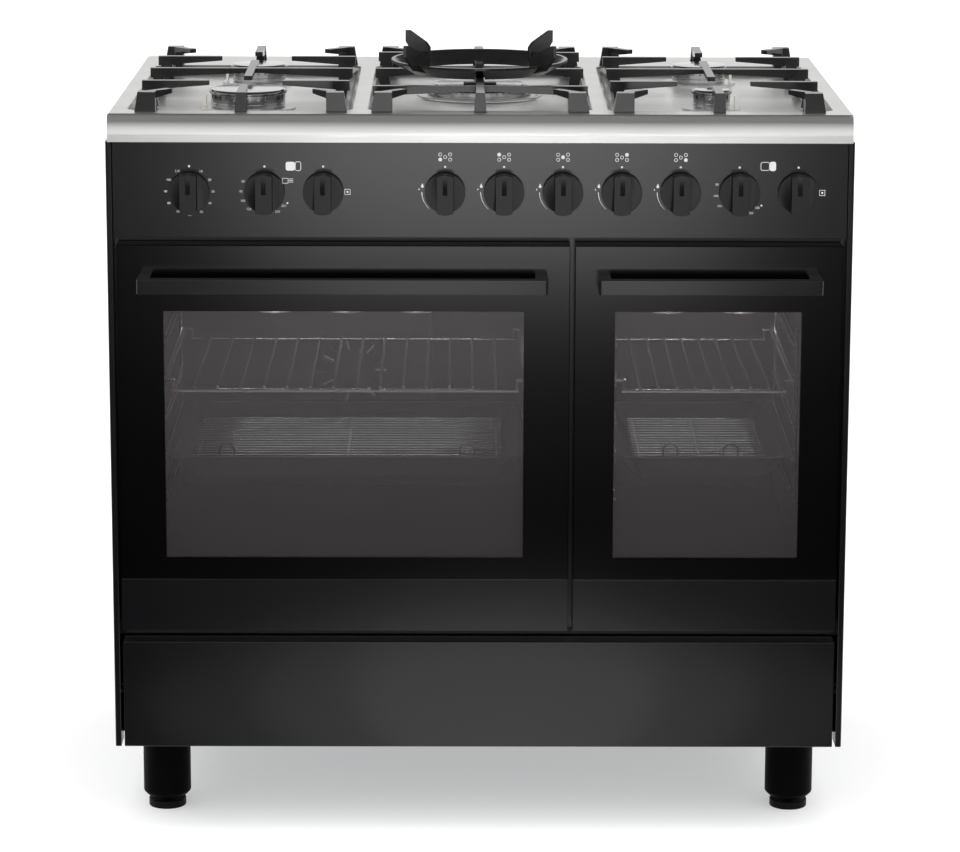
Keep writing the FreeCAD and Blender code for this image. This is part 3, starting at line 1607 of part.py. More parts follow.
def turned_body(label, outline, x, y, z):
    """A round piece from half of its section, given as pairs of radius and height."""
    body = new_body(label)
    section = sketch_on(body, "section", "XZ")
    polygon(section, outline)
    spun = body.newObject("PartDesign::Revolution", label + "_turned")
    spun.Profile = section
    spun.ReferenceAxis = (section, ["V_Axis"])
    spun.Angle = 360
    body.Tip = spun
    return at(body, x, y, z)


legs = []
feet = []
for name, x, y in LEG_PLACES:
    legs.append(turned_body("leg_" + name, [
        ("0", "0"),
        ("leg_radius - leg_chamfer", "0"),
        ("leg_radius", "leg_chamfer"),
        ("leg_radius", "base_bottom - leg_bottom"),
        ("0", "base_bottom - leg_bottom"),
    ], x, y, "leg_bottom"))
    feet.append(join("foot_" + name, [
        rod("foot_%s_disc" % name, "Z", "foot_radius", "foot_height", x, y, "0"),
        bar("foot_%s_screw" % name, "Z", WIRE_SIDES, "foot_screw", "leg_bottom", x, y, "0"),
    ]))
keep(group("legs", legs))
keep(group("levelling_feet", feet))

# Every object is checked, then each sub-part is written to its own file

doc.recompute()
for item in doc.Objects:
    faults = [state for state in item.State if state in ("Invalid", "Error")]
    if faults:
        raise RuntimeError("%s: %s" % (item.Label, ", ".join(faults)))
for item in nodes:
    if item.Shape.isNull() or not item.Shape.isValid() or not item.Shape.Solids:
        raise RuntimeError("%s has no sound shape" % item.Label)

os.makedirs("parts", exist_ok=True)
for item in nodes:
    item.Shape.exportStep("parts/%s.step" % item.Label)
print("%d nodes written" % len(nodes))
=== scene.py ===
# Looks of the range cooker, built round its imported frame. Metres, X to the right, Y to the back, Z up.

import json
import math

import bmesh
import bpy
from mathutils import Matrix, Vector


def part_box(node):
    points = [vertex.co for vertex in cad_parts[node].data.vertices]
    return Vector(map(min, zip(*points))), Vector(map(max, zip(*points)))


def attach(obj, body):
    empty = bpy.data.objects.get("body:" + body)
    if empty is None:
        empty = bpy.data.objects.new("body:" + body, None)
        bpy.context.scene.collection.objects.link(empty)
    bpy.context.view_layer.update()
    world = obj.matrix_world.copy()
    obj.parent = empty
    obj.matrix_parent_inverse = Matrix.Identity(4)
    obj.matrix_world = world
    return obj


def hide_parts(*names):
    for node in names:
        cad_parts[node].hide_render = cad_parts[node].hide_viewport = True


MM = 0.001

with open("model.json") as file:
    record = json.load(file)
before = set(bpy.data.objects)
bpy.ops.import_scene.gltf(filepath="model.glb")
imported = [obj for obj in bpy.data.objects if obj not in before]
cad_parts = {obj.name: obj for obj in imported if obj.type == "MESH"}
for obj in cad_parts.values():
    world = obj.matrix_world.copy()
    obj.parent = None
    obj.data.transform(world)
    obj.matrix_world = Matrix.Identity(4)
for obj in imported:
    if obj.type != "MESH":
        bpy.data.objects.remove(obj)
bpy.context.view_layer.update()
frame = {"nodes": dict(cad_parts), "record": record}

# Height of the clear window in both doors, inside the printed border of the glass

DOOR_LOW, DOOR_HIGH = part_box("main_door_frame")
WINDOW_LOW = DOOR_LOW.z + 93 * MM
WINDOW_HIGH = DOOR_HIGH.z - 80.5 * MM


# Small tools for materials

# Places of a Mix node's colour sockets
MIX_FROM = 6
MIX_TO = 7
MIX_RESULT = 2

# Share of a pattern's range over which a colour or a roughness runs, unless a material gives its own
USUAL_SPAN = (0.3, 0.7)


def linear(code):
    """A colour written as sRGB hex, as the linear values that a shader takes."""
    shares = [int(code[place:place + 2], 16) / 255 for place in (1, 3, 5)]
    return [share / 12.92 if share <= 0.04045 else ((share + 0.055) / 1.055) ** 2.4
            for share in shares] + [1.0]


def add(tree, kind, fields=None, inputs=None):
    """Adds a node, sets its fields, and sets or links its inputs."""
    node = tree.nodes.new("ShaderNode" + kind)
    for name, value in (fields or {}).items():
        setattr(node, name, value)
    for name, value in (inputs or {}).items():
        if isinstance(value, bpy.types.NodeSocket):
            tree.links.new(value, node.inputs[name])
        else:
            node.inputs[name].default_value = value
    return node


def grain(tree, size, stretch=(1, 1, 1), detail=2.0):
    """A pattern of that size in metres on the piece itself, drawn out along an axis by stretch."""
    place = add(tree, "TexCoord")
    scale = [1 / (size * share) for share in stretch]
    spread = add(tree, "Mapping", inputs={"Vector": place.outputs["Object"], "Scale": scale})
    noise = add(tree, "TexNoise", inputs={"Vector": spread.outputs["Vector"], "Scale": 1.0, "Detail": detail})
    return noise.outputs["Fac"]


def finish(name, describe):
    """A material from what describe(tree) says of it. Base Color is a pattern and the two colours that it
    runs between, and Roughness is one value, or a pattern and two values. Either may end with the span of
    its pattern. Normal is a pattern, and the strength and height of its relief. The rest are fixed values."""
    material = bpy.data.materials.new(name)
    material.use_nodes = True
    tree = material.node_tree
    tree.nodes.clear()
    look = describe(tree)
    pattern, dark, pale, *span = look["Base Color"]
    start, end = span or USUAL_SPAN
    share = add(tree, "MapRange", inputs={"Value": pattern, "From Min": start, "From Max": end})
    colour = add(tree, "Mix", {"data_type": "RGBA"}, {
        "Factor": share.outputs["Result"], MIX_FROM: linear(dark), MIX_TO: linear(pale)})
    look["Base Color"] = colour.outputs[MIX_RESULT]
    if isinstance(look["Roughness"], tuple):
        pattern, smooth, rough, *span = look["Roughness"]
        start, end = span or USUAL_SPAN
        sheen = add(tree, "MapRange", inputs={
            "Value": pattern, "From Min": start, "From Max": end, "To Min": smooth, "To Max": rough})
        look["Roughness"] = sheen.outputs["Result"]
    if "Normal" in look:
        pattern, strength, height = look["Normal"]
        relief = add(tree, "Bump", inputs={"Height": pattern, "Strength": strength, "Distance": height})
        look["Normal"] = relief.outputs["Normal"]
    shader = add(tree, "BsdfPrincipled", inputs=look)
    add(tree, "OutputMaterial", inputs={"Surface": shader.outputs["BSDF"]})
    return material


# Materials, each named for what the real one is

def brushed_stainless(tree):
    """Stainless sheet ground along X, which draws a lamp out into a pale band with soft edges. The
    grinding lines are 0.2 mm apart and are drawn 0.8 mm apart so that they show."""
    lines = grain(tree, 0.8 * MM, (140, 1, 1), 3.0)
    broad = grain(tree, 60 * MM, (3, 1, 1))
    return {"Base Color": (broad, "#DEDEDC", "#E6E6E4"), "Metallic": 1.0,
            "Roughness": (lines, 0.29, 0.37), "Normal": (lines, 0.04, 0.05 * MM)}


def black_lacquer(tree):
    """Stoved satin lacquer on sheet steel, in which a lamp spreads into a wide soft light. Its orange
    peel is about 1.5 mm across."""
    peel = grain(tree, 1.5 * MM)
    cloud = grain(tree, 90 * MM)
    return {"Base Color": (cloud, "#08080A", "#0B0B0D"), "Roughness": (peel, 0.18, 0.22),
            "Specular IOR Level": 0.55, "Normal": (peel, 0.04, 0.05 * MM)}


def galvanised_sheet(tree):
    """Hot-dip zinc, with faint spangle about 8 mm across that shifts a little in tone and sheen."""
    place = add(tree, "TexCoord")
    spangle = add(tree, "TexVoronoi", {"feature": "F1"}, {
        "Vector": place.outputs["Object"], "Scale": 1 / (8 * MM)})
    crystal = add(tree, "SeparateColor", inputs={"Color": spangle.outputs["Color"]}).outputs["Red"]
    return {"Base Color": (crystal, "#9FA2A4", "#AAADAF", 0.0, 1.0), "Metallic": 1.0,
            "Roughness": (crystal, 0.36, 0.44, 0.0, 1.0)}


def oven_enamel(tree):
    """Vitreous enamel, glossy and nearly black, with sparse pale specks half a millimetre across."""
    specks = grain(tree, 0.5 * MM, detail=0.0)
    ripple = grain(tree, 4 * MM)
    return {"Base Color": (specks, "#2A2829", "#9A9798", 0.68, 0.74), "Roughness": 0.3,
            "Normal": (ripple, 0.1, 0.1 * MM)}


def black_glass(tree):
    """Float glass with a black print fired on its back, deep and even with a soft mirror on top."""
    wave = grain(tree, 120 * MM)
    return {"Base Color": (wave, "#010101", "#020202"), "Roughness": 0.16, "Specular IOR Level": 0.5}


def window_glass(tree):
    """The unprinted part of the door glass. Its grey veil over the oven behind it is partly the glass's tint
    and partly a painted reflection, and is painted lighter towards the top."""
    place = add(tree, "TexCoord")
    # Painted reflection: the window's grey runs with height, lighter towards the top
    height = add(tree, "SeparateXYZ", inputs={"Vector": place.outputs["Object"]}).outputs["Z"]
    return {"Base Color": (height, "#3E3A3B", "#5C5759", WINDOW_LOW, WINDOW_HIGH), "Roughness": 0.16,
            "Specular IOR Level": 0.5, "Alpha": 0.28}


def clear_glass(tree):
    """Toughened inner pane of the door, nearly clear, with a faint green cast."""
    wave = grain(tree, 150 * MM)
    return {"Base Color": (wave, "#6B726F", "#7A807D"), "Roughness": 0.04, "Alpha": 0.06,
            "Specular IOR Level": 0.3, "IOR": 1.5}


def dark_anodised(tree):
    """Aluminium extrusion, brushed along X and dyed black, so that a soft light lies along it."""
    lines = grain(tree, 0.6 * MM, (120, 1, 1), 3.0)
    return {"Base Color": (lines, "#0C0C0D", "#121213"), "Roughness": (lines, 0.2, 0.25),
            "Specular IOR Level": 0.6, "Normal": (lines, 0.05, 0.05 * MM)}


def cast_black(tree):
    """Sand-cast iron under matte enamel. Its grain breaks up the light, and is half a millimetre across,
    drawn at 0.9 mm so that it shows."""
    sand = grain(tree, 0.9 * MM, detail=3.0)
    lump = grain(tree, 9 * MM)
    return {"Base Color": (lump, "#0C0C0D", "#131314"), "Roughness": (sand, 0.28, 0.4),
            "Specular IOR Level": 0.3, "Coat Weight": 0.5, "Coat Roughness": 0.16,
            "Normal": (sand, 0.15, 0.12 * MM)}


def burner_alloy(tree):
    """Die-cast aluminium, machined bright, with fine turning marks."""
    turning = grain(tree, 0.7 * MM, (1, 1, 0.5), 3.0)
    return {"Base Color": (turning, "#BEBFC0", "#D2D3D4"), "Metallic": 1.0,
            "Roughness": (turning, 0.14, 0.24), "Normal": (turning, 0.05, 0.05 * MM)}


def cap_enamel(tree):
    """Black vitreous enamel on steel, which mirrors the room at a low angle."""
    peel = grain(tree, 2 * MM)
    return {"Base Color": (peel, "#161617", "#1B1B1C"), "Roughness": (peel, 0.18, 0.26),
            "Coat Weight": 1.0, "Coat Roughness": 0.12, "Coat IOR": 1.9, "Specular IOR Level": 1.0,
            "Normal": (peel, 0.05, 0.05 * MM)}


def ceramic_white(tree):
    """Unglazed alumina, off-white and faintly mottled."""
    mottle = grain(tree, 1.5 * MM)
    return {"Base Color": (mottle, "#DDD8CC", "#ECE8DE"), "Roughness": 0.55}


def black_moulding(tree):
    """Satin moulded thermoset, spark-eroded to a fine even texture 0.4 mm across."""
    texture = grain(tree, 0.4 * MM)
    cloud = grain(tree, 12 * MM)
    return {"Base Color": (cloud, "#0E0E0F", "#121213"), "Roughness": (texture, 0.3, 0.36),
            "Specular IOR Level": 0.4, "Normal": (texture, 0.12, 0.04 * MM)}


def brass_fitting(tree):
    """Turned brass, slightly dulled in patches a few millimetres across."""
    wear = grain(tree, 5 * MM)
    return {"Base Color": (wear, "#A37C3C", "#C29B58"), "Metallic": 1.0, "Roughness": (wear, 0.24, 0.38)}


def switch_plastic(tree):
    """Moulded switch bodies in pale nylon, dull and faintly mottled."""
    mottle = grain(tree, 3 * MM)
    return {"Base Color": (mottle, "#DDD9CF", "#E8E5DC"), "Roughness": 0.5}


def rack_chrome(tree):
    """Bright chromed wire, whose mirror softens and sharpens every few millimetres."""
    plating = grain(tree, 3 * MM)
    return {"Base Color": (plating, "#C9CCCE", "#DADCDD"), "Metallic": 1.0,
            "Roughness": (plating, 0.1, 0.2)}


def element_steel(tree):
    """Steel sheath, browned by heat in patches."""
    heat = grain(tree, 14 * MM)
    return {"Base Color": (heat, "#4A4543", "#6E6A68"), "Metallic": 0.8, "Roughness": (heat, 0.4, 0.55)}


def seal_rubber(tree):
    """Woven and silicone-filled seal, dull, with the weave about a millimetre across."""
    weave = grain(tree, 1.2 * MM)
    return {"Base Color": (weave, "#202124", "#2C2D30"), "Roughness": 0.8, "Normal": (weave, 0.4, 0.3 * MM)}


def leg_black(tree):
    """Lacquered steel tube, nearly black and hardly glossy."""
    peel = grain(tree, 1.5 * MM)
    return {"Base Color": (peel, "#020202", "#040404"), "Roughness": (peel, 0.4, 0.5),
            "Specular IOR Level": 0.03}


def foot_plastic(tree):
    """Moulded foot in black nylon, matte."""
    texture = grain(tree, 0.6 * MM)
    return {"Base Color": (texture, "#050505", "#080809"), "Roughness": 0.5,
            "Specular IOR Level": 0.1, "Normal": (texture, 0.2, 0.05 * MM)}


def lamp_glass(tree):
    """Small domed lamp cover, warm and clear."""
    ripple = grain(tree, 3 * MM)
    return {"Base Color": (ripple, "#E6DCC2", "#F3E9CF"), "Roughness": 0.15, "Transmission Weight": 0.7,
            "IOR": 1.5}


def printed_white(tree):
    """Screen-printed ink, white and a little uneven in cover."""
    cover = grain(tree, 0.8 * MM)
    return {"Base Color": (cover, "#D9D9D9", "#F0F0F0"), "Roughness": 0.5}


MAKERS = (brushed_stainless, black_lacquer, galvanised_sheet, oven_enamel, black_glass, window_glass,
          clear_glass, dark_anodised, cast_black, burner_alloy, cap_enamel, ceramic_white, black_moulding,
          brass_fitting, switch_plastic, rack_chrome, element_steel, seal_rubber, leg_black,
          foot_plastic, lamp_glass, printed_white)
finishes = {describe.__name__: finish(describe.__name__, describe) for describe in MAKERS}

# Every node of the frame starts from the finish that the record gives it

node_slot = {part["node"]: part["material_slot"] for part in frame["record"]["subparts"]}
node_body = {node: body for body, group in frame["record"]["behaviour"]["bodies"].items() for node in group}
for node, piece in frame["nodes"].items():
    piece.data.materials.clear()
    piece.data.materials.append(finishes[node_slot[node]])


# Small tools for pieces

WELD_DISTANCE = 0.01 * MM
FLAT_ANGLE = math.radians(0.5)
FOLD_ANGLE = math.radians(24)
TURNED_FOLD_ANGLE = math.radians(32)
ON_AXIS = 1e-6


def seat(piece, body, slot, *nodes):
    """Puts a finished piece on its body and hides the nodes that it stands for. The slot is not used."""
    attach(piece, body)
    if nodes:
        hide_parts(*nodes)
    return piece


def mesh_of(name, work):
    """The mesh that was worked on, kept under a name."""
    mesh = bpy.data.meshes.new(name)
    work.to_mesh(mesh)
    work.free()
    return mesh


def piece_of(name, work, material):
    """A new object from the mesh that was worked on, with one finish."""
    mesh = mesh_of(name, work)
    piece = bpy.data.objects.new(name, mesh)
    bpy.context.scene.collection.objects.link(piece)
    mesh.materials.clear()
    mesh.materials.append(finishes[material])
    return piece


def shade(mesh, fold):
    """Smooth light over the mesh, broken at edges that fold more than that angle."""
    mesh.shade_smooth()
    mesh.set_sharp_from_angle(angle=fold)


def clean_copy(node):
    """The node's mesh, welded, with the flat faces made whole."""
    work = bmesh.new()
    work.from_mesh(frame["nodes"][node].data)
    bmesh.ops.remove_doubles(work, verts=work.verts, dist=WELD_DISTANCE)
    bmesh.ops.dissolve_limit(work, angle_limit=FLAT_ANGLE, verts=work.verts, edges=work.edges)
    return work


def softened(node, width, weigh=None, segments=3, clamp=True, cuts=()):
    """A copy of a node with rounded edges. weigh gives each sharp edge's share of the width. Cuts across
    X keep the light even along a long fold up to its ends."""
    work = clean_copy(node)
    for place in cuts:
        bmesh.ops.bisect_plane(work, geom=work.verts[:] + work.edges[:] + work.faces[:],
                               plane_co=(place, 0, 0), plane_no=(1, 0, 0))
    layer = work.edges.layers.float.new("bevel_weight_edge")
    for edge in work.edges:
        if len(edge.link_faces) == 2 and edge.calc_face_angle(0) > FOLD_ANGLE:
            middle = (edge.verts[0].co + edge.verts[1].co) / 2
            edge[layer] = weigh(middle, edge) if weigh else 1.0
    piece = piece_of(node + "_finished", work, node_slot[node])
    shade(piece.data, FOLD_ANGLE)
    rounding = piece.modifiers.new("rounding", "BEVEL")
    rounding.harden_normals = True
    rounding.limit_method = "WEIGHT"
    rounding.width = width
    rounding.segments = segments
    rounding.use_clamp_overlap = clamp
    rounding.miter_outer = "MITER_SHARP"
    baked = bpy.data.meshes.new_from_object(piece.evaluated_get(bpy.context.evaluated_depsgraph_get()))
    piece.modifiers.clear()
    piece.data = baked
    return seat(piece, node_body[node], node_slot[node], node)


def turned(outline, segments=96):
    """A mesh turned about Z from pairs of radius and height."""
    work = bmesh.new()
    rings = []
    for radius, height in outline:
        if radius < ON_AXIS:
            rings.append([work.verts.new((0, 0, height))])
            continue
        angles = [2 * math.pi * step / segments for step in range(segments)]
        rings.append([work.verts.new((radius * math.cos(angle), radius * math.sin(angle), height))
                      for angle in angles])
    for below, above in zip(rings, rings[1:]):
        for step in range(segments):
            after = (step + 1) % segments
            corners = []
            for ring, places in ((below, (step, after)), (above, (after, step))):
                for place in places:
                    vert = ring[place] if len(ring) > 1 else ring[0]
                    if vert not in corners:
                        corners.append(vert)
            work.faces.new(corners)
    bmesh.ops.recalc_face_normals(work, faces=work.faces)
    return work


# Frame pieces with rounded edges, each with its radius in millimetres and its segments

ROUNDED = (
    # sheet metal and feet, whose folds and edges catch the light
    ("side_panel_left", 1.2, 3),
    ("side_panel_right", 1.2, 3),
    ("control_panel", 0.8, 3),
    ("drawer_front", 1.5, 3),
    ("main_handle", 0.8, 3),
    ("small_handle", 0.8, 3),
    ("main_door_frame", 0.8, 3),
    ("small_door_frame", 0.8, 3),
    ("front_frame", 0.5, 3),
    ("legs", 1.5, 3),
    ("levelling_feet", 1.2, 3),
    # wires, which have flat sides in the frame
    ("side_racks", 1.7, 3),
    ("wire_shelves", 0.9, 2),
    ("grill_grids", 0.8, 2),
    ("grill_elements", 1.4, 2),
    # castings
    ("pan_support_left", 1.3, 3),
    ("pan_support_centre", 1.3, 3),
    ("pan_support_right", 1.3, 3),
    ("wok_ring", 1.3, 3),
)
for node, radius, segments in ROUNDED:
    softened(node, radius * MM, segments=segments)

# Knobs: rounded edges, with the bore and the groove of the pointer kept crisp

KNOBS = [node for node in frame["nodes"] if node.startswith("knob_")]
KNOB_ROUNDING = 1.3 * MM
KNOB_BORE_REACH = 4 * MM
POINTER_REACH = 4 * MM
POINTER_DEPTH = 1.2 * MM
POINTER_TOP = 20 * MM
POINTER_SHARE = 0.15


def knob_weights(node):
    """The function that weighs the edges of one knob."""
    low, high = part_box(node)
    axis_x = (low.x + high.x) / 2
    axis_z = (low.z + high.z) / 2

    def weigh(middle, edge):
        if math.hypot(middle.x - axis_x, middle.z - axis_z) < KNOB_BORE_REACH:
            return 0.0
        on_grip = middle.y < low.y + POINTER_DEPTH and middle.z < axis_z + POINTER_TOP
        if on_grip and abs(middle.x - axis_x) < POINTER_REACH:
            return POINTER_SHARE
        return 1.0

    return weigh


for node in KNOBS:
    softened(node, KNOB_ROUNDING, knob_weights(node))

# Door glass: a black printed border round a clear window

BORDER_WIDTHS = {"main": 55.7 * MM, "small": 48.7 * MM}
GROUND_EDGE = 0.8 * MM


def block_corners(left, right, near, far, low, high):
    """The eight corners of a block, as four round the front and four round the back."""
    return [Vector((x, y, z)) for y in (near, far)
            for x, z in ((left, low), (right, low), (right, high), (left, high))]


def glazing(door, border_width):
    """The printed border of a door's glass, with a ground edge, and the window inside it."""
    low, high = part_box(door + "_door_glass")
    outer = block_corners(low.x, high.x, low.y, high.y, low.z, high.z)
    inner = block_corners(low.x + border_width, high.x - border_width, low.y, high.y,
                          WINDOW_LOW, WINDOW_HIGH)
    work = bmesh.new()
    rim = [work.verts.new(corner) for corner in outer]
    hole = [work.verts.new(corner) for corner in inner]
    for side in range(4):
        after = (side + 1) % 4
        work.faces.new((rim[side], rim[after], hole[after], hole[side]))
        work.faces.new((rim[side + 4], hole[side + 4], hole[after + 4], rim[after + 4]))
        work.faces.new((rim[side], rim[side + 4], rim[after + 4], rim[after]))
        work.faces.new((hole[side], hole[after], hole[after + 4], hole[side + 4]))
    ground = [work.edges.get((rim[side], rim[(side + 1) % 4])) for side in range(4)]
    bmesh.ops.bevel(work, geom=ground, offset=GROUND_EDGE, segments=2, profile=0.5, affect="EDGES")
    bmesh.ops.recalc_face_normals(work, faces=work.faces)
    border = piece_of(door + "_glass_border", work, "black_glass")
    seat(border, door + "_door", "black_glass", door + "_door_glass")
    work = bmesh.new()
    pane = [work.verts.new(corner) for corner in inner]
    work.faces.new(pane[:4])
    work.faces.new(pane[:3:-1])
    window = piece_of(door + "_window", work, "window_glass")
    seat(window, door + "_door", "black_glass")


for door, border_width in BORDER_WIDTHS.items():
    glazing(door, border_width)

# Burners: bright crowns with flame teeth, and enamelled caps with a rounded edge

hob_low, hob_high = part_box("hob_top")
ring_low, ring_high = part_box("wok_ring")
DECK = hob_high.z
PAD_TOP = DECK - 8 * MM
BURNER_MIDDLE_Y = ring_low.y / 2 + ring_high.y / 2
BURNERS = (
    # name, then in millimetres: across, back, crown radius, crown height, tooth height, cap radius; teeth
    ("front_left", -285, -130, 45.5, 17, 5.5, 47.5, 28),
    ("rear_left", -285, 130, 34, 17, 5.5, 36, 22),
    ("centre", 0, 0, 65.5, 8, 2, 59, 48),
    ("rear_right", 285, 130, 34, 17, 5.5, 36, 22),
    ("front_right", 285, -130, 22.8, 17, 5.5, 24.8, 16),
)
BARREL_DEPTH = 24 * MM
BARREL_INSET = 7 * MM
SEAT_INSET = 4 * MM
SEAT_GAP = 0.2 * MM
FOOT_HEIGHT = 1.6 * MM
FOOT_CORNER = 0.6 * MM
GROOVE_SHARE = 0.55
GROOVE_DEPTH = 0.5 * MM
TOOTH_DEPTH = 4.5 * MM
TOOTH_SHARE = 0.68
TOOTH_CORNERS = (-1, -0.33, 0.33, 1)
CAP_HEIGHT = 5.5 * MM
CAP_SHOULDER = 2.4 * MM
CAP_ROUND = 4 * MM
CAP_CORNER = 0.8 * MM


def quarter_arc(middle, height, reach, rise, steps=6):
    """Points on a quarter of an ellipse, from its outermost point to its top."""
    angles = [math.radians(90 * step / steps) for step in range(steps + 1)]
    return [(middle + reach * math.cos(angle), height + rise * math.sin(angle)) for angle in angles]


def crown_tooth(work, radius, inner, low, high, middle, spread):
    """One tooth on the crown's rim, as wide as the spread of angle."""
    rings = []
    for height in (low, high):
        ring = []
        for reach, turns in ((radius, TOOTH_CORNERS), (inner, (1, -1))):
            for turn in turns:
                angle = middle + turn * spread / 2
                ring.append(work.verts.new((reach * math.cos(angle), reach * math.sin(angle), height)))
        rings.append(ring)
    below, above = rings
    work.faces.new(above)
    work.faces.new(list(reversed(below)))
    for place in range(len(below)):
        after = (place + 1) % len(below)
        work.faces.new((below[place], below[after], above[after], above[place]))


def burner_crown(name, place, radius, height, tooth_height, teeth):
    """A turned body with a groove round it and a ring of teeth on top."""
    root = height - tooth_height
    groove = root * GROOVE_SHARE
    inner = radius - TOOTH_DEPTH
    work = turned([
        (0, -BARREL_DEPTH), (radius - BARREL_INSET, -BARREL_DEPTH), (radius - BARREL_INSET, SEAT_GAP),
        (radius - SEAT_INSET, SEAT_GAP), (radius - SEAT_INSET, FOOT_HEIGHT),
        (radius - FOOT_CORNER, FOOT_HEIGHT), (radius, FOOT_HEIGHT + FOOT_CORNER),
        (radius, groove - GROOVE_DEPTH), (radius - GROOVE_DEPTH, groove), (radius, groove + GROOVE_DEPTH),
        (radius, root), (inner, root), (inner, height - SEAT_GAP), (0, height - SEAT_GAP)])
    pitch = 2 * math.pi / teeth
    for tooth in range(teeth):
        crown_tooth(work, radius, inner, root, height, pitch * tooth, pitch * TOOTH_SHARE)
    bmesh.ops.translate(work, vec=place, verts=work.verts)
    crown = piece_of("crown_" + name, work, "burner_alloy")
    shade(crown.data, TURNED_FOLD_ANGLE)
    seat(crown, "cabinet", "burner_alloy", "burner_crowns")


def burner_cap(name, place, radius):
    """A flat enamelled disc with a rounded shoulder."""
    work = turned([(0, 0), (radius - CAP_CORNER, 0), (radius, CAP_CORNER)]
                  + quarter_arc(radius - CAP_ROUND, CAP_SHOULDER, CAP_ROUND, CAP_HEIGHT - CAP_SHOULDER)
                  + [(0, CAP_HEIGHT)])
    bmesh.ops.translate(work, vec=place, verts=work.verts)
    cap = piece_of("cap_" + name, work, "cap_enamel")
    shade(cap.data, TURNED_FOLD_ANGLE)
    seat(cap, "cabinet", "cap_enamel", "burner_caps")


for name, across, back, radius, height, tooth_height, cap_radius, teeth in BURNERS:
    pad = Vector((across * MM, BURNER_MIDDLE_Y + back * MM, PAD_TOP))
    burner_crown(name, pad, radius * MM, height * MM, tooth_height * MM, teeth)
    burner_cap(name, pad + Vector((0, 0, height * MM)), cap_radius * MM)

# Hob: soft pressing radii round the wells, finer ones on the burner pads, and rounded folds at the front

WELL_FLOOR = DECK - 11 * MM
LARGEST_RADIUS = 9 * MM
END_CUT = 4 * MM
APRON_BACK = hob_low.y + 10 * MM
UPPER_FOLD_END = DECK - 4 * MM
LOWER_FOLD_END = DECK - 20 * MM
FOLDED_SHEET_TOP = DECK - 17 * MM
CHEEK_TOP = DECK - 1 * MM
RIM_END = DECK - 0.2 * MM
WELL_FOOT_REACH = 0.3 * MM
SHORT_EDGE = 8 * MM
PAD_START = WELL_FLOOR + 2.5 * MM
ALONG_X = 0.9

# Shares of the largest radius
UPPER_FOLD = 0.3
LOWER_FOLD = 1.0
WELL_RIM = 0.25
WELL_FOOT = 0.2
PAD_STEP = 0.09


def pressing(middle, edge):
    """The share of the largest radius that an edge of the hob gets."""
    along = abs(edge.verts[0].co.x - edge.verts[1].co.x) > ALONG_X * edge.calc_length()
    if middle.y < APRON_BACK and middle.z > LOWER_FOLD_END and along:
        return UPPER_FOLD if middle.z > UPPER_FOLD_END else LOWER_FOLD
    if middle.z < FOLDED_SHEET_TOP or (middle.y < APRON_BACK and middle.z < CHEEK_TOP):
        return 0.0
    if middle.z > RIM_END:
        return WELL_RIM
    if abs(middle.z - WELL_FLOOR) < WELL_FOOT_REACH and edge.calc_length() > SHORT_EDGE:
        return WELL_FOOT
    if middle.z > PAD_START:
        return PAD_STEP
    return 0.0


softened("hob_top", LARGEST_RADIUS, pressing, segments=5, clamp=False,
         cuts=(hob_low.x + END_CUT, hob_high.x - END_CUT))

# Print on the control panel: plain numbers, dots and small signs, in millimetres from each knob's axis

GAS_KNOBS = ("front_left", "rear_left", "centre", "rear_right", "front_right")
INK_RISE = 0.08 * MM
CIRCLE_STEP_DEGREES = 20
FIGURE_HEIGHT = 2.9
# Share of the font's size that a figure fills
FIGURE_SHARE = 0.73
OFF_DOT_UP = 30.6
OFF_DOT_RADIUS = 1.35
HOTTEST_DOT_RADIUS = 1.2

# Each number with its angle clockwise from the top
TIMER_REACH = 28.4
TIMER_DIAL = [(str(10 * step), 30 * step) for step in range(1, 12)]
OVEN_REACH = 28.6
MAIN_OVEN_DIAL = (("50", 296), ("75", 270), ("100", 247), ("125", 222), ("200", 148), ("250", 127))
SMALL_OVEN_DIAL = (("50", 290), ("100", 262), ("150", 235), ("200", 150), ("250", 130))

BURNER_SIGN_UP = 42.5
BURNER_PLACES = ((-5.9, -3.1), (-5.9, 3.1), (0, 0), (5.9, 3.1), (5.9, -3.1))
FILLED_RADIUS = 2.3
RING_OUTER = 2.25
RING_INNER = 1.55

FLAME_HALF = ((0, 3.4), (1.1, 1.0), (1.7, -0.4), (1.3, -1.7), (0, -2.2))
FLAME = FLAME_HALF + tuple((-across, up) for across, up in reversed(FLAME_HALF[1:-1]))
SMALL_FLAME = tuple((across * 0.42, up * 0.42) for across, up in FLAME)
WEDGE_START = 222
WEDGE_TURN = 48
WEDGE_STEP = 6
WEDGE_INNER = 27.6
WEDGE_OUTER = 27.9
WEDGE_GROWTH = 0.7

OVEN_CORNER = 2.2
OVEN_INNER_CORNER = 1.5
OVEN_LINE = 0.75
HEAT_LINES = 3
HEAT_LINE_PITCH = 1.9
LAMP_SIGN_ACROSS = 29


def flat(work, points, x, z):
    """A flat printed shape, its points given round x and z."""
    work.faces.new([work.verts.new((x + across, 0, z + up)) for across, up in points])


def around(angle, radius):
    """A place at an angle clockwise from the top."""
    turn = math.radians(angle)
    return radius * math.sin(turn), radius * math.cos(turn)


def circle_of(radius):
    """Points round a circle."""
    angles = [math.radians(degrees) for degrees in range(0, 360, CIRCLE_STEP_DEGREES)]
    return [(radius * math.cos(angle), radius * math.sin(angle)) for angle in angles]


def rectangle_of(width, height, corner):
    """Points round a rectangle with rounded corners."""
    points = []
    for side, end, start in ((1, 1, 0), (-1, 1, 90), (-1, -1, 180), (1, -1, 270)):
        for degrees in (start, start + 45, start + 90):
            angle = math.radians(degrees)
            points.append((side * (width / 2 - corner) + corner * math.cos(angle),
                           end * (height / 2 - corner) + corner * math.sin(angle)))
    return points


def disc_mark(work, x, z, radius):
    """A filled dot."""
    flat(work, circle_of(radius), x, z)


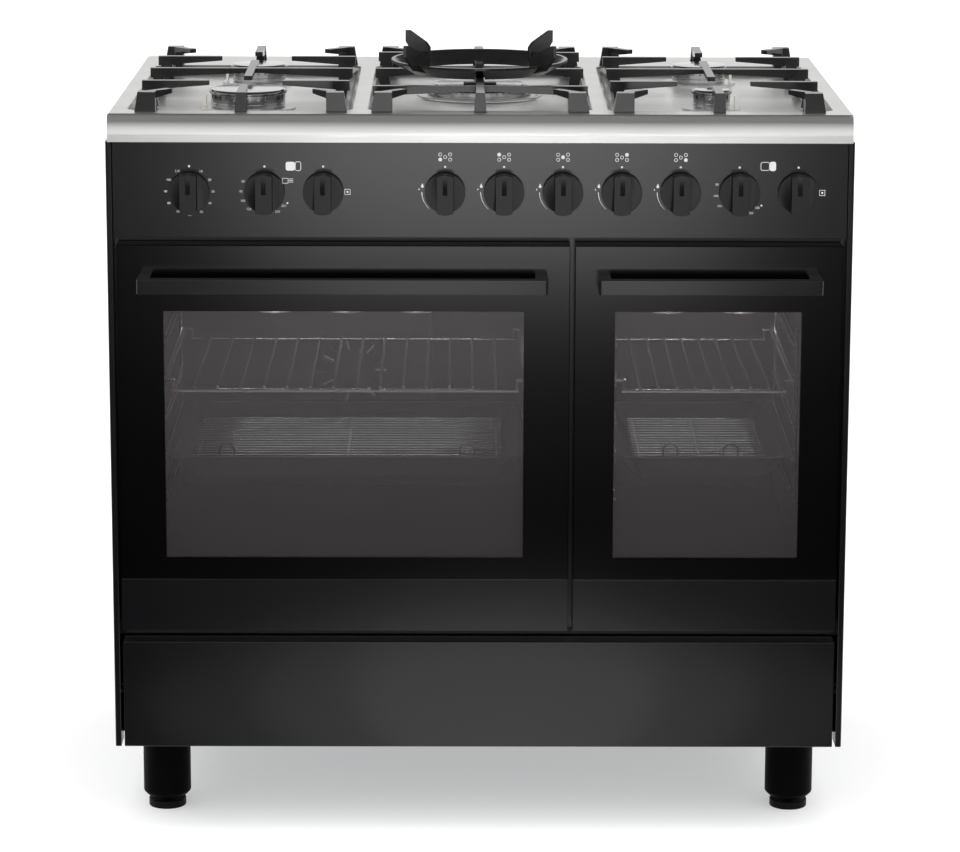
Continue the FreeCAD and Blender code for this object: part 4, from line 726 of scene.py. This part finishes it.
def band_mark(work, x, z, outer, inner):
    """A band between two outlines with the same number of points."""
    for place in range(len(outer)):
        after = (place + 1) % len(outer)
        flat(work, (outer[place], outer[after], inner[after], inner[place]), x, z)


def number_mark(work, word, x, z):
    """A number in Blender's own plain letters."""
    curve = bpy.data.curves.new("number", "FONT")
    curve.body = word
    curve.size = FIGURE_HEIGHT / FIGURE_SHARE
    curve.align_x = "CENTER"
    curve.align_y = "CENTER"
    curve.resolution_u = 2
    holder = bpy.data.objects.new("number", curve)
    shape = holder.to_mesh()
    corners = [work.verts.new((x + vert.co.x, 0, z + vert.co.y)) for vert in shape.vertices]
    for face in shape.polygons:
        work.faces.new([corners[index] for index in face.vertices])
    holder.to_mesh_clear()
    bpy.data.objects.remove(holder)


def dial(work, numbers, radius):
    """Numbers round a knob."""
    for word, angle in numbers:
        number_mark(work, word, *around(angle, radius))


def burner_sign(work, active):
    """Five rings as the burners lie, the active one filled."""
    for index, (across, up) in enumerate(BURNER_PLACES):
        if index == active:
            disc_mark(work, across, BURNER_SIGN_UP + up, FILLED_RADIUS)
        else:
            band_mark(work, across, BURNER_SIGN_UP + up, circle_of(RING_OUTER), circle_of(RING_INNER))


def flame_sign(work):
    """A large flame, a small one and a wedge that thins out between them."""
    flat(work, FLAME, *around(angle=285, radius=28.3))
    flat(work, SMALL_FLAME, *around(angle=276, radius=31.6))
    angles = range(WEDGE_START, WEDGE_START + WEDGE_TURN + 1, WEDGE_STEP)
    outer = [around(angle, WEDGE_OUTER + WEDGE_GROWTH * (angle - WEDGE_START) / WEDGE_TURN)
             for angle in angles]
    inner = [around(angle, WEDGE_INNER) for angle in angles]
    for place in range(len(outer) - 1):
        flat(work, (outer[place], outer[place + 1], inner[place + 1], inner[place]), 0, 0)


def ovens_sign(work, x, z, main_filled):
    """The two ovens side by side, the one that the knob serves filled."""
    for across, width, height, filled in ((-4.4, 11, 10.6, main_filled), (4.9, 7.4, 11.4, not main_filled)):
        outer = rectangle_of(width, height, OVEN_CORNER)
        if filled:
            flat(work, outer, x + across, z)
        else:
            inner = rectangle_of(width - 2 * OVEN_LINE, height - 2 * OVEN_LINE, OVEN_INNER_CORNER)
            band_mark(work, x + across, z, outer, inner)


def grill_sign(work, x, z):
    """A square beside three short heat lines."""
    band_mark(work, x - 3, z - 1.5, rectangle_of(width=7.5, height=6.5, corner=0.6),
              rectangle_of(width=6.3, height=5.3, corner=0.4))
    for line in range(HEAT_LINES):
        flat(work, rectangle_of(width=5, height=0.6, corner=0.2), x + 4, z - 3 + HEAT_LINE_PITCH * line)


def lamp_sign(work):
    """A square with a dot in it."""
    band_mark(work, LAMP_SIGN_ACROSS, 0, rectangle_of(width=7, height=7, corner=0.5),
              rectangle_of(width=5.8, height=5.8, corner=0.3))
    disc_mark(work, LAMP_SIGN_ACROSS, 0, radius=1.25)


panel_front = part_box("control_panel")[0].y
for node in KNOBS:
    low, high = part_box(node)
    control = node[len("knob_"):]
    ink = bmesh.new()
    disc_mark(ink, 0, OFF_DOT_UP, OFF_DOT_RADIUS)
    if control in GAS_KNOBS:
        burner_sign(ink, GAS_KNOBS.index(control))
        flame_sign(ink)
    if control.endswith("lamp"):
        lamp_sign(ink)
    if control == "timer":
        dial(ink, TIMER_DIAL, TIMER_REACH)
    if control == "main_oven":
        dial(ink, MAIN_OVEN_DIAL, OVEN_REACH)
        disc_mark(ink, *around(angle=117, radius=30.5), HOTTEST_DOT_RADIUS)
        grill_sign(ink, *around(angle=62, radius=31.5))
        ovens_sign(ink, x=35.4, z=31, main_filled=True)
    if control == "small_oven":
        dial(ink, SMALL_OVEN_DIAL, OVEN_REACH)
        disc_mark(ink, *around(angle=120, radius=31), HOTTEST_DOT_RADIUS)
        ovens_sign(ink, x=35, z=32, main_filled=False)
    bmesh.ops.scale(ink, vec=(MM, MM, MM), verts=ink.verts)
    knob_axis = Vector(((low.x + high.x) / 2, panel_front - INK_RISE, (low.z + high.z) / 2))
    bmesh.ops.translate(ink, vec=knob_axis, verts=ink.verts)
    bmesh.ops.recalc_face_normals(ink, faces=ink.faces)
    print_piece = piece_of("print_" + control, ink, "printed_white")
    seat(print_piece, "cabinet", None)

# Surroundings: white to the camera, with strengths as shares of full white

# A mirrored ray meets full white at the sides and dark overhead
MIRRORED_SIDES = 1.0
MIRRORED_TOP = 0.05
MIRROR_FADE = (0.2, 0.68)
# A wide soft light from above and a little in front falls on what is dull
OVERHEAD_AIM = (0.0, -0.4, 0.917)
OVERHEAD_FADE = (0.5, 0.85)
ROOM_LIGHT = 0.5
OVERHEAD_LIGHT = 2.4

world = bpy.data.worlds.new("studio")
bpy.context.scene.world = world
world.use_nodes = True
sky = world.node_tree
sky.nodes.clear()
path = add(sky, "LightPath")
toward = add(sky, "TexCoord").outputs["Generated"]
height = add(sky, "SeparateXYZ", inputs={"Vector": toward})
mirror = add(sky, "MapRange", {"interpolation_type": "SMOOTHSTEP"}, {
    "Value": height.outputs["Z"], "From Min": MIRROR_FADE[0], "From Max": MIRROR_FADE[1],
    "To Min": MIRRORED_SIDES, "To Max": MIRRORED_TOP})
lean = add(sky, "VectorMath", {"operation": "DOT_PRODUCT"}, {0: toward, 1: OVERHEAD_AIM})
overhead = add(sky, "MapRange", {"interpolation_type": "SMOOTHSTEP"}, {
    "Value": lean.outputs["Value"], "From Min": OVERHEAD_FADE[0], "From Max": OVERHEAD_FADE[1],
    "To Min": ROOM_LIGHT, "To Max": OVERHEAD_LIGHT})
unseen = add(sky, "Mix", {"data_type": "FLOAT"}, {
    "Factor": path.outputs["Is Glossy Ray"], "A": overhead.outputs["Result"], "B": mirror.outputs["Result"]})
seen = add(sky, "Mix", {"data_type": "FLOAT"}, {
    "Factor": path.outputs["Is Camera Ray"], "A": unseen.outputs[0], "B": 1.0})
surroundings = add(sky, "Background", inputs={"Color": linear("#FFFFFF"), "Strength": seen.outputs[0]})
add(sky, "OutputWorld", inputs={"Surface": surroundings.outputs["Background"]})

# Floor: pale paper that camera, mirrors and glass see lifted to white, with the cooker's shadow kept

FLOOR_REACH = 30.0
PAPER_LIFT = 0.34
# In front of the cooker mirrored rays meet the floor dark, as in a dark studio, so the doors stay black
DIM_FADE = (-0.25, -0.65)

floor_mesh = bpy.data.meshes.new("studio_floor")
floor_mesh.from_pydata([(-FLOOR_REACH, -FLOOR_REACH, 0), (FLOOR_REACH, -FLOOR_REACH, 0),
                        (FLOOR_REACH, FLOOR_REACH, 0), (-FLOOR_REACH, FLOOR_REACH, 0)],
                       [], [(0, 1, 2, 3)])
floor = bpy.data.objects.new("studio_floor", floor_mesh)
bpy.context.scene.collection.objects.link(floor)
paper = bpy.data.materials.new("white_paper")
paper.use_nodes = True
sheet = paper.node_tree
sheet.nodes.clear()
rays = add(sheet, "LightPath")
in_view = add(sheet, "Math", {"operation": "MAXIMUM"}, {
    0: rays.outputs["Is Camera Ray"], 1: rays.outputs["Is Glossy Ray"]})
direct = add(sheet, "Math", {"operation": "MAXIMUM"}, {
    0: in_view.outputs["Value"], 1: rays.outputs["Is Transmission Ray"]})
place = add(sheet, "SeparateXYZ", inputs={"Vector": add(sheet, "TexCoord").outputs["Object"]})
in_front = add(sheet, "MapRange", {"interpolation_type": "SMOOTHSTEP"}, {
    "Value": place.outputs["Y"], "From Min": DIM_FADE[0], "From Max": DIM_FADE[1]})
dim = add(sheet, "Math", {"operation": "MULTIPLY"}, {
    0: in_front.outputs["Result"], 1: rays.outputs["Is Glossy Ray"]})
shown = add(sheet, "Math", {"operation": "SUBTRACT"}, {0: direct.outputs["Value"], 1: dim.outputs["Value"]})
lift = add(sheet, "Math", {"operation": "MULTIPLY"}, {0: shown.outputs["Value"], 1: PAPER_LIFT})
glow = add(sheet, "Emission", inputs={"Color": linear("#FFFFFF"), "Strength": lift.outputs["Value"]})
tone = add(sheet, "Mix", {"data_type": "RGBA"}, {
    "Factor": dim.outputs["Value"], MIX_FROM: linear("#DADADA"), MIX_TO: linear("#0C0C0C")})
matte = add(sheet, "BsdfDiffuse", inputs={"Color": tone.outputs[MIX_RESULT]})
both = add(sheet, "AddShader", inputs={0: glow.outputs["Emission"], 1: matte.outputs["BSDF"]})
add(sheet, "OutputMaterial", inputs={"Surface": both.outputs["Shader"]})
floor_mesh.materials.append(paper)

# Lamps: a soft front light, one in each oven, and low cards in front that light the doors from below

OVEN_LIGHT_POWERS = {"main": 0.4, "small": 0.25}
OVEN_LIGHT_SHARE = 0.7
OVEN_LIGHT_HEIGHT = 15 * MM
OVEN_LIGHT_INSET = 25 * MM
OVEN_LIGHT_DROP = 30 * MM
CARD_X = 0.04
CARD_Y = -0.82
CARD_DEPTH = 0.85
CARDS = (
    # width, power, height over the floor, which differs because a mirrored ray meets only one card
    (1.0, 0.7, 0.015),
    (0.7, 0.52, 0.025),
    (0.42, 0.36, 0.035),
)


def softbox(name, place, target, width, height, power, shape="RECTANGLE"):
    """A flat lamp at a place, turned towards its target. Metres and watts."""
    lamp = bpy.data.lights.new(name, "AREA")
    lamp.shape = shape
    lamp.size = width
    lamp.size_y = height
    lamp.energy = power
    box = bpy.data.objects.new(name, lamp)
    bpy.context.scene.collection.objects.link(box)
    box.location = place
    box.rotation_euler = (Vector(target) - Vector(place)).to_track_quat("-Z", "Y").to_euler()
    return box


softbox("front_light", place=(0.05, -4.6, 0.44), target=(0.05, 0, 0.44), width=1.1, height=0.84, power=11)
for oven, power in OVEN_LIGHT_POWERS.items():
    low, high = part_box(oven + "_cavity")
    middle = (low + high) / 2
    softbox(oven + "_oven_light", (middle.x, low.y + OVEN_LIGHT_INSET, high.z - OVEN_LIGHT_DROP),
            (middle.x, high.y, middle.z), (high.x - low.x) * OVEN_LIGHT_SHARE, OVEN_LIGHT_HEIGHT, power)
for width, power, rise in CARDS:
    low_card = softbox("low_card", (CARD_X, CARD_Y, rise), (CARD_X, CARD_Y, 1.0),
                       width, CARD_DEPTH, power, "ELLIPSE")
    low_card.visible_camera = False

# Camera at the photograph's place

CAMERA_PLACE = Vector((-0.023, -4.7935, 1.487))
CAMERA_YAW = math.radians(0.30)
CAMERA_PITCH = math.radians(12.11)
CAMERA_ROLL = math.radians(-0.17)
SENSOR_WIDTH = 36.0
FOCAL_LENGTH = 142.2
FURTHEST_SEEN = 100.0

ahead = Vector((math.sin(CAMERA_YAW) * math.cos(CAMERA_PITCH), math.cos(CAMERA_YAW) * math.cos(CAMERA_PITCH),
                -math.sin(CAMERA_PITCH)))
level = Vector((math.cos(CAMERA_YAW), -math.sin(CAMERA_YAW), 0))
down = ahead.cross(level)
right = level * math.cos(CAMERA_ROLL) + down * math.sin(CAMERA_ROLL)
below = down * math.cos(CAMERA_ROLL) - level * math.sin(CAMERA_ROLL)
lens = bpy.data.cameras.new("camera")
lens.sensor_width = SENSOR_WIDTH
lens.lens = FOCAL_LENGTH
lens.clip_end = FURTHEST_SEEN
camera = bpy.data.objects.new("camera", lens)
bpy.context.scene.collection.objects.link(camera)
axes = Matrix((right, -below, -ahead)).transposed()
camera.matrix_world = Matrix.Translation(CAMERA_PLACE) @ axes.to_4x4()
bpy.context.scene.camera = camera
bpy.context.scene.view_settings.view_transform = "Standard"
